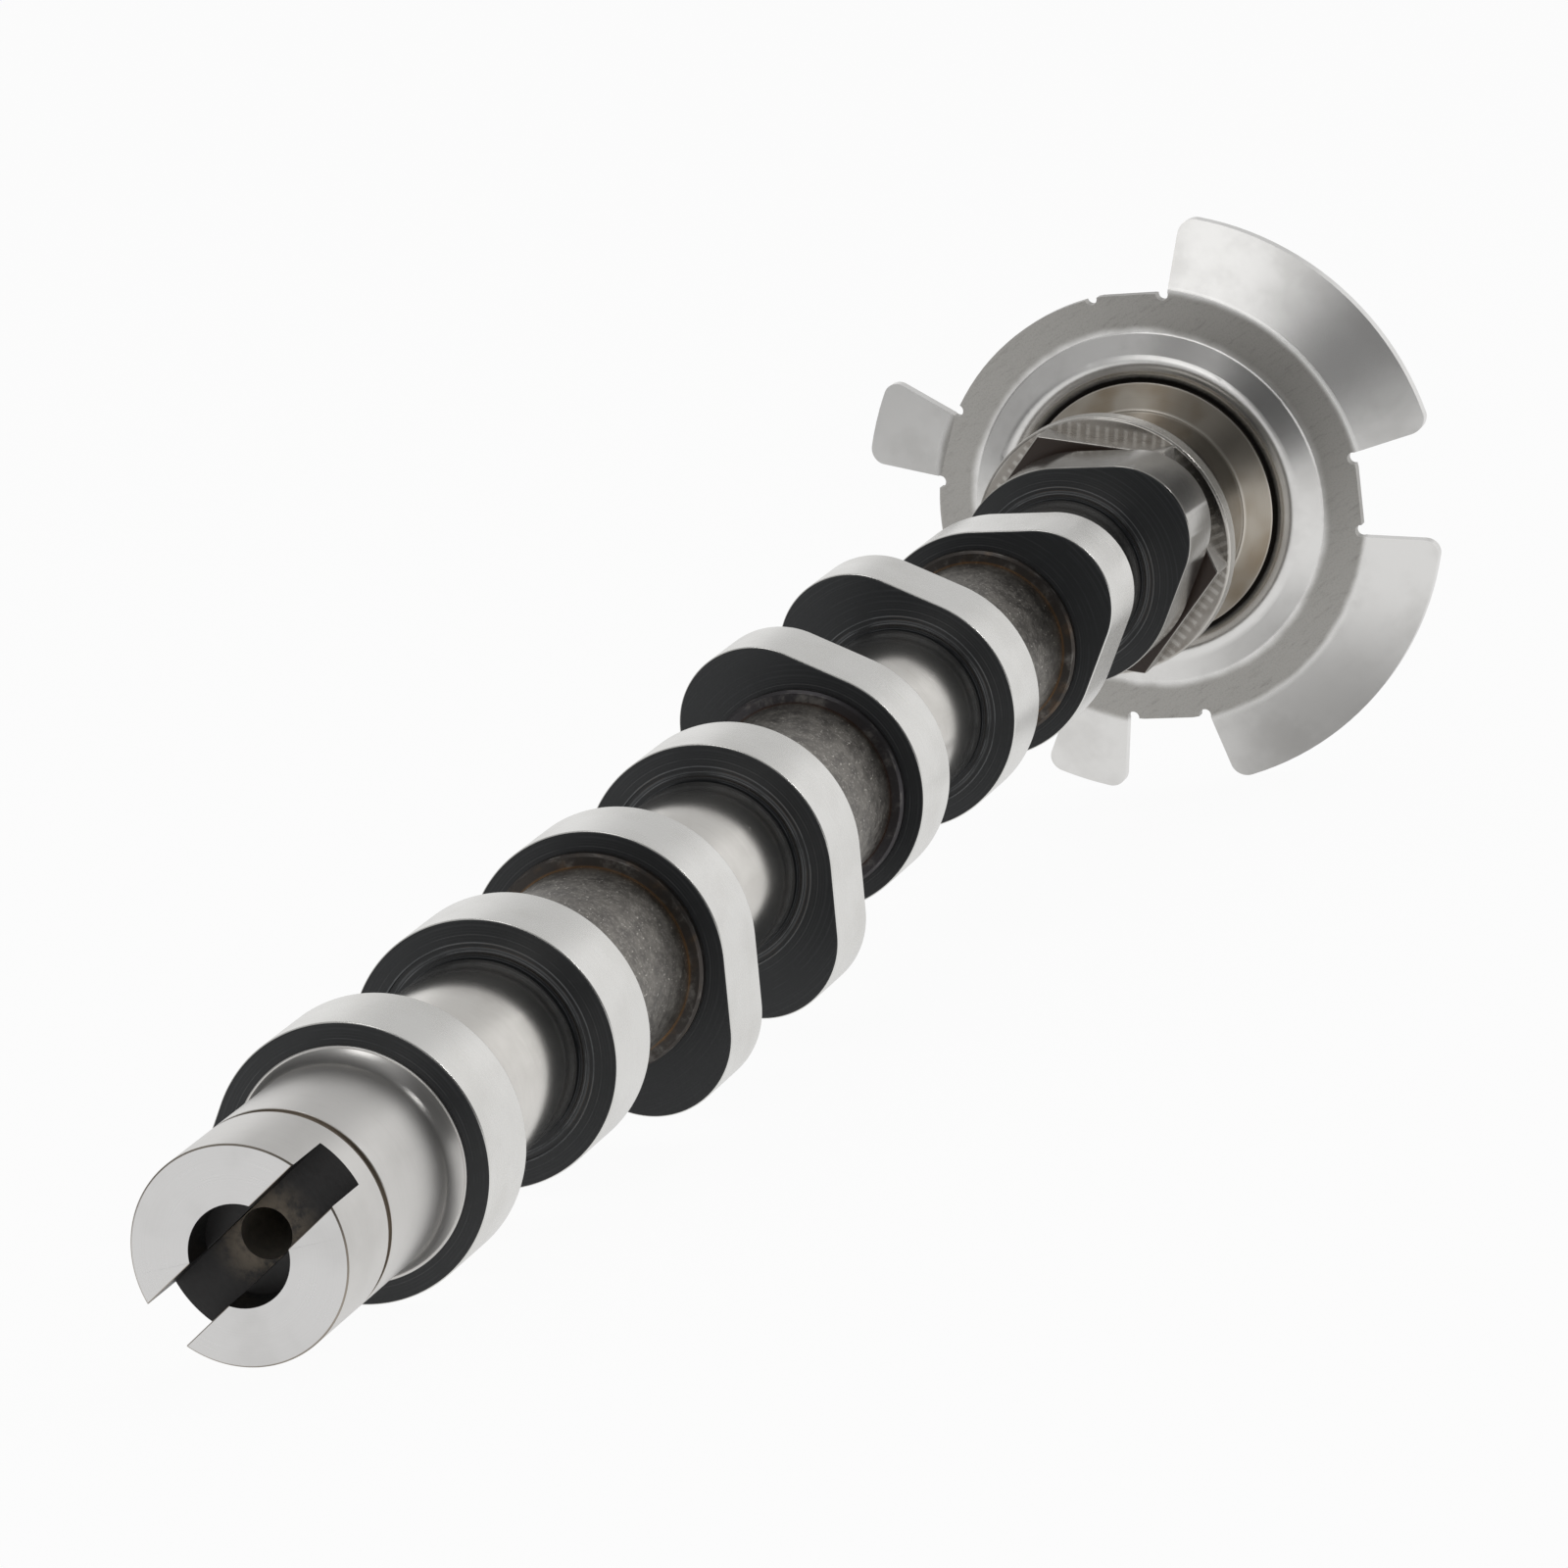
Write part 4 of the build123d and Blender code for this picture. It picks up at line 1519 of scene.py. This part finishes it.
@dataclass(frozen=True)
class DriveEnd:
    """Hexagon, thrust collar, front journal, shoulder and the nose beyond the wheel.

    Attributes:
        bolt_mouth: width and depth of the bolt hole's countersink.
        blank_turns: turns of the thread that are left out at the floor.
        crest: share of the thread's depth at which its crests stand.
        collar_edges: radii of the collar's front and back edge.
        cone_edges: radii of the cone's root and of the flange's front edge.
        journal_slack: how far before the cone the shoulder's finish begins.
    """

    layout: Layout
    spigot: float = 24.0
    flats: float = 36.0
    hexagon_length: float = 6.6
    corner_angle: float = 12.1
    collar_radius: float = 21.0
    collar_width: float = 3.6
    journal_radius: float = 17.0
    journal_length: float = 20.8
    undercut_width: float = 0.8
    undercut_depth: float = 0.25
    shoulder_length: float = 3.0
    flange_radius: float = 21.1
    flange_edge: float = 0.8
    seat_radius: float = 15.0
    sheet: float = 2.0
    nose_radius: float = 14.0
    nose_length: float = 12.0
    bolt_radius: float = 5.1
    bolt_depth: float = 32.0
    bolt_mouth: float = 1.2
    thread_pitch: float = 1.75
    thread_depth: float = 0.9
    blank_turns: int = 4
    crest: float = 0.1
    spigot_chamfer: float = 1.0
    nose_chamfer: float = 1.0
    collar_edges: Pair = (0.45, 0.3)
    cone_edges: Pair = (0.5, 0.22)
    journal_slack: float = 0.2
    edge: float = 0.35
    edge_segments: int = 3

    @property
    def collar(self) -> float:
        """Station of the collar's front face."""
        return self.layout.hexagon + self.hexagon_length

    @property
    def journal(self) -> Pair:
        """Stations between which the front journal lies."""
        start = self.collar + self.collar_width
        return start, start + self.journal_length

    @property
    def seat(self) -> float:
        """Station of the face that the wheel is seated on."""
        return self.journal[1] + self.shoulder_length + self.flange_edge

    def _thread(self) -> list[Pair]:
        """Lay out the ridges of the bolt hole.

        Returns:
            (station, radius) points from its mouth to its floor.
        """
        end = self.seat + self.nose_length
        floor = end - self.bolt_depth
        points: list[Pair] = [(end, self.bolt_radius + self.bolt_mouth)]
        station = end - self.bolt_mouth
        while station > floor + self.blank_turns * self.thread_pitch:
            points.append((station, self.bolt_radius + self.thread_depth * self.crest))
            points.append((station - self.thread_pitch / 2, self.bolt_radius + self.thread_depth))
            station -= self.thread_pitch
        return points + [(station, self.bolt_radius), (floor, self.bolt_radius), (floor, 0.0)]

    def build(self) -> Blank:
        """Make the drive end.

        Returns:
            Its mesh.
        """
        blank = Blank()
        start = self.layout.hexagon - self.spigot
        collar, (journal, shoulder), seat = self.collar, self.journal, self.seat
        cone_end = shoulder + self.shoulder_length
        low = self.journal_radius - self.undercut_depth
        end = seat + self.nose_length
        points = [
            (start, 0.0),
            (start, self.layout.tube_bore - self.spigot_chamfer),
            (start + self.spigot_chamfer, self.layout.tube_bore),
            (collar, self.layout.tube_bore),
            (collar, self.collar_radius),
            (journal, self.collar_radius),
            (journal, low),
            (journal + self.undercut_width, low),
            (journal + self.undercut_width, self.journal_radius),
            (shoulder, self.journal_radius),
            (cone_end, self.flange_radius),
            (seat, self.flange_radius),
            (seat, self.seat_radius),
            (seat + self.sheet, self.seat_radius),
            (seat + self.sheet, self.nose_radius),
            (end - self.nose_chamfer, self.nose_radius),
            (end, self.nose_radius - self.nose_chamfer),
            *self._thread(),
        ]
        front, back = self.collar_edges
        root, flange = self.cone_edges
        blank.turn(points, {4: front, 5: back, 9: root, 10: flange})
        self._add_hexagon(blank)
        return blank

    def _add_hexagon(self, blank: Blank) -> None:
        """Stand the hexagon on the collar's face, its corners eased.

        Args:
            blank: the turned drive end.
        """
        corner = self.flats / 2 / math.cos(math.pi / HEXAGON_SIDES)
        ring = bmesh.ops.create_circle(blank.bm, cap_ends=True, radius=corner, segments=HEXAGON_SIDES)
        turn = Matrix.Rotation(math.radians(90), 4, "Y")
        roll = Matrix.Rotation(math.radians(self.corner_angle), 4, "X")
        place = Matrix.Translation(SHAFT * self.layout.hexagon) @ roll @ turn
        bmesh.ops.transform(blank.bm, matrix=place, verts=ring["verts"])
        face = next(f for f in ring["verts"][0].link_faces)
        drawn = bmesh.ops.extrude_face_region(blank.bm, geom=[face], use_keep_orig=True)
        moved = [item for item in drawn["geom"] if isinstance(item, bmesh.types.BMVert)]
        bmesh.ops.translate(blank.bm, verts=moved, vec=SHAFT * self.hexagon_length)
        near = [e for e in edges_at(ring["verts"] + moved) if not all(v in moved for v in e.verts)]
        blank.soften(near, self.edge, self.edge_segments)

    def paint(self, station: float, radius: float, normal: Vector) -> Finish:
        """Choose the finish of a face.

        Args:
            station: the face's place along the shaft.
            radius: its distance from the shaft's axis.
            normal: its direction in shaft coordinates.

        Returns:
            The finish.
        """
        journal, shoulder = self.journal
        if station < self.layout.hexagon + self.edge / 5 and normal.x < -ENDWAYS:
            return Finish.HEXAGON_FACE
        if station < journal + TOUCH:
            return Finish.HEXAGON
        if station < shoulder - self.journal_slack:
            return Finish.FRONT_JOURNAL
        if station < self.seat - TOUCH:
            return Finish.SHOULDER
        in_hole = radius < self.bolt_radius + self.thread_depth + TOUCH
        inside = station < self.seat + self.nose_length
        return Finish.CUT if in_hole and inside else Finish.NOSE_FACE

    def add(self, pose: ShaftPose, wardrobe: Wardrobe) -> None:
        """Put the drive end in the scene."""
        piece = Piece("drive_end_dressed", self.build(), "drive_end", "turned_steel")
        piece.finish(pose, wardrobe, self.paint)


@dataclass(frozen=True)
class PhotoCamera:
    """Camera at the photograph's place, given in shaft coordinates.

    Attributes:
        eye: the lens's place in millimetres.
        turn: Euler angles in degrees.
        lens: focal length for the sensor's width.
        sensor: that width.
        sight: nearest and farthest distance that it sees, in metres.
    """

    eye: Triple = (-773.323, -27.023, -412.361)
    turn: Triple = (-125.8216, 48.738, 62.9374)
    lens: float = 176.044
    sensor: float = 36.0
    sight: Pair = (0.05, 50.0)

    def place(self, pose: ShaftPose) -> None:
        """Make the camera and look through it.

        Args:
            pose: where the shaft lies.
        """
        data = bpy.data.cameras.new("camera")
        data.lens = self.lens
        data.sensor_width = self.sensor
        data.clip_start, data.clip_end = self.sight
        camera = bpy.data.objects.new("camera", data)
        bpy.context.scene.collection.objects.link(camera)
        turn = Euler([math.radians(angle) for angle in self.turn]).to_matrix().to_4x4()
        camera.matrix_world = pose.matrix @ Matrix.Translation(Vector(self.eye) * MM) @ turn
        bpy.context.scene.camera = camera


@dataclass(frozen=True)
class SoftBox:
    """A large soft lamp.

    Attributes:
        place: where it hangs, in metres.
        size: its width and height in metres.
        power: watts.
        aim: the point that it is turned to.
    """

    name: str
    place: Triple
    size: Pair
    power: float
    aim: Triple = (0.0, 0.0, 0.04)

    def hang(self) -> None:
        """Hang the lamp, turned to the object."""
        data = bpy.data.lights.new(self.name, "AREA")
        data.shape = "RECTANGLE"
        data.size, data.size_y = self.size
        data.energy = self.power
        lamp = bpy.data.objects.new(self.name, data)
        bpy.context.scene.collection.objects.link(lamp)
        towards = Vector(self.aim) - Vector(self.place)
        lamp.rotation_euler = towards.to_track_quat("-Z", "Y").to_euler()
        lamp.location = self.place


@dataclass(frozen=True)
class Glow:
    """Soft patch of light or dark in the surroundings.

    Attributes:
        towards: direction in which it lies.
        narrow: cosine at which it begins.
        full: cosine at which it is whole.
        gain: strength that it adds, or takes where negative.
    """

    towards: Triple
    narrow: float
    full: float
    gain: float


@dataclass(frozen=True)
class Shade:
    """Spot of the table that doesn't glow in the steel's reflections.

    Attributes:
        place: its middle, in metres.
        begins: distance from it at which the glow begins.
        whole: distance at which the glow is whole.
    """

    place: Triple
    begins: float
    whole: float


@dataclass(frozen=True)
class Studio:
    """White table, pale surroundings and soft lamps.

    Attributes:
        table_half: half the table's width, in metres.
        table_tone: its brightness.
        seen_glow: share of the table top that is plain white to the camera.
        mirrored_glow: the same share where steel mirrors it.
        shades: places where steel mirrors the table's true shade, under the wheel and far off.
        room: strength of the surroundings away from their soft patches.
        glows: those patches.
        boxes: the lamps.
    """

    table_half: float = 8.0
    table_tone: float = 0.86
    seen_glow: float = 0.95
    mirrored_glow: float = 0.74
    shades: tuple[Shade, ...] = (
        Shade((0.198, -0.036, 0.0), 0.0, 0.05),
        Shade((-0.75, 0.9, 0.0), 0.5, 0.95),
        Shade((-0.75, -0.5, 0.0), 0.3, 0.75),
    )
    room: float = 0.42
    glows: tuple[Glow, ...] = (
        Glow((1.0, 0.0, 0.0), 0.25, 0.8, 0.46),
        Glow((0.787, 0.02, 0.616), 0.89, 0.99, -0.28),
        Glow((0.0, -0.93, 0.36), 0.64, 0.92, -0.3),
        Glow((-0.87, -0.46, 0.12), 0.86, 0.97, -0.34),
        Glow((-0.81, -0.09, 0.58), 0.955, 0.99, -0.29),
        Glow((-0.58, -0.14, 0.8), 0.9, 0.985, -0.18),
        Glow((-0.62, -0.55, 0.56), 0.92, 0.985, -0.11),
        Glow((-0.76, 0.65, -0.08), 0.93, 0.99, -0.32),
    )
    boxes: tuple[SoftBox, ...] = (
        SoftBox("key", (-2.6, 0.03, 1.04), (1.45, 1.4), 6.4),
        SoftBox("side", (0.9, -1.3, 1.2), (0.25, 0.25), 2.4),
        SoftBox("near", (-0.2, 0.02, 1.2), (0.4, 0.4), 0.9),
    )

    def build(self) -> None:
        """Set up table, world and lamps."""
        self._lay_table()
        self._fill_world()
        for box in self.boxes:
            box.hang()
        bpy.context.scene.view_settings.view_transform = "Standard"

    def _lay_table(self) -> None:
        """White table top that keeps the object's shadow: part of it glows, for the camera alone."""
        bm = bmesh.new()
        bmesh.ops.create_grid(bm, x_segments=1, y_segments=1, size=self.table_half)
        mesh = bpy.data.meshes.new("table")
        bm.to_mesh(mesh)
        bm.free()
        bench = Bench("white_table")
        paint = bench.node("ShaderNodeBsdfDiffuse", {}, {"Color": (*(self.table_tone,) * 3, 1.0)})
        white = bench.node("ShaderNodeEmission", {}, {"Color": WHITE, "Strength": 1.0})
        rays = bench.node("ShaderNodeLightPath", {}, {}, output=None)
        seen = Wire(bench, rays.outputs["Is Camera Ray"])
        mirrored = Wire(bench, rays.outputs["Is Glossy Ray"])
        spot = bench.node("ShaderNodeTexCoord", {}, {}, output="Object")
        mirror = mirrored * self.mirrored_glow
        for shade in self.shades:
            away = bench.node(
                "ShaderNodeVectorMath", {"operation": "DISTANCE"}, {0: spot, 1: shade.place}, output="Value"
            )
            mirror = mirror * away.rise(shade.begins, shade.whole)
        share = seen * self.seen_glow + mirror
        top = bench.node("ShaderNodeMixShader", {}, {0: share, 1: paint, 2: white})
        bench.node("ShaderNodeOutputMaterial", {}, {"Surface": top}, output=None)
        mesh.materials.append(bench.material)
        table = bpy.data.objects.new("table", mesh)
        bpy.context.scene.collection.objects.link(table)

    def _fill_world(self) -> None:
        """Pale surroundings: white to the camera, with soft patches where they light the object."""
        world = bpy.data.worlds.new("surroundings")
        bpy.context.scene.world = world
        bench = Bench("", world=world)
        towards = bench.node("ShaderNodeTexCoord", {}, {}, output="Generated")
        level: Any = self.room
        for glow in self.glows:
            aim = Vector(glow.towards).normalized()
            along = bench.node(
                "ShaderNodeVectorMath", {"operation": "DOT_PRODUCT"}, {0: towards, 1: aim}, output="Value"
            )
            level = along.rise(glow.narrow, glow.full) * glow.gain + level
        light = bench.node("ShaderNodeBackground", {}, {"Color": WHITE, "Strength": level})
        white = bench.node("ShaderNodeBackground", {}, {"Color": WHITE, "Strength": 1.0})
        seen = bench.node("ShaderNodeLightPath", {}, {}, output="Is Camera Ray")
        both = bench.node("ShaderNodeMixShader", {}, {0: seen, 1: light, 2: white})
        bench.node("ShaderNodeOutputWorld", {}, {"Surface": both}, output=None)


def dress_node(name: str, finish: Finish, wardrobe: Wardrobe) -> None:
    """Give a CAD node a finish.

    Args:
        name: the node.
        finish: its finish.
        wardrobe: maker of the materials.
    """
    mesh = frame["nodes"][name].data
    mesh.materials.clear()
    mesh.materials.append(wardrobe.get(finish))


def main() -> None:
    """Build the camshaft's pieces, the camera and the studio."""
    logging.basicConfig(level=logging.INFO, format="%(name)s %(message)s")
    pose = ShaftPose.from_record(frame["record"])
    PhotoCamera().place(pose)
    Studio().build()
    wardrobe = Wardrobe(pose)
    layout = Layout()
    ShaftTube(layout).add(pose, wardrobe)
    for number in range(1, 2 * layout.cylinders + 1):
        CamLobe(number, layout).add(pose, wardrobe)
    SlottedEnd(layout).add(pose, wardrobe)
    DriveEnd(layout).add(pose, wardrobe)
    dress_node("trigger_wheel", Finish.SHEET, wardrobe)
    dress_node("dowel_pin", Finish.PIN, wardrobe)


if __name__ == "__main__":
    main()
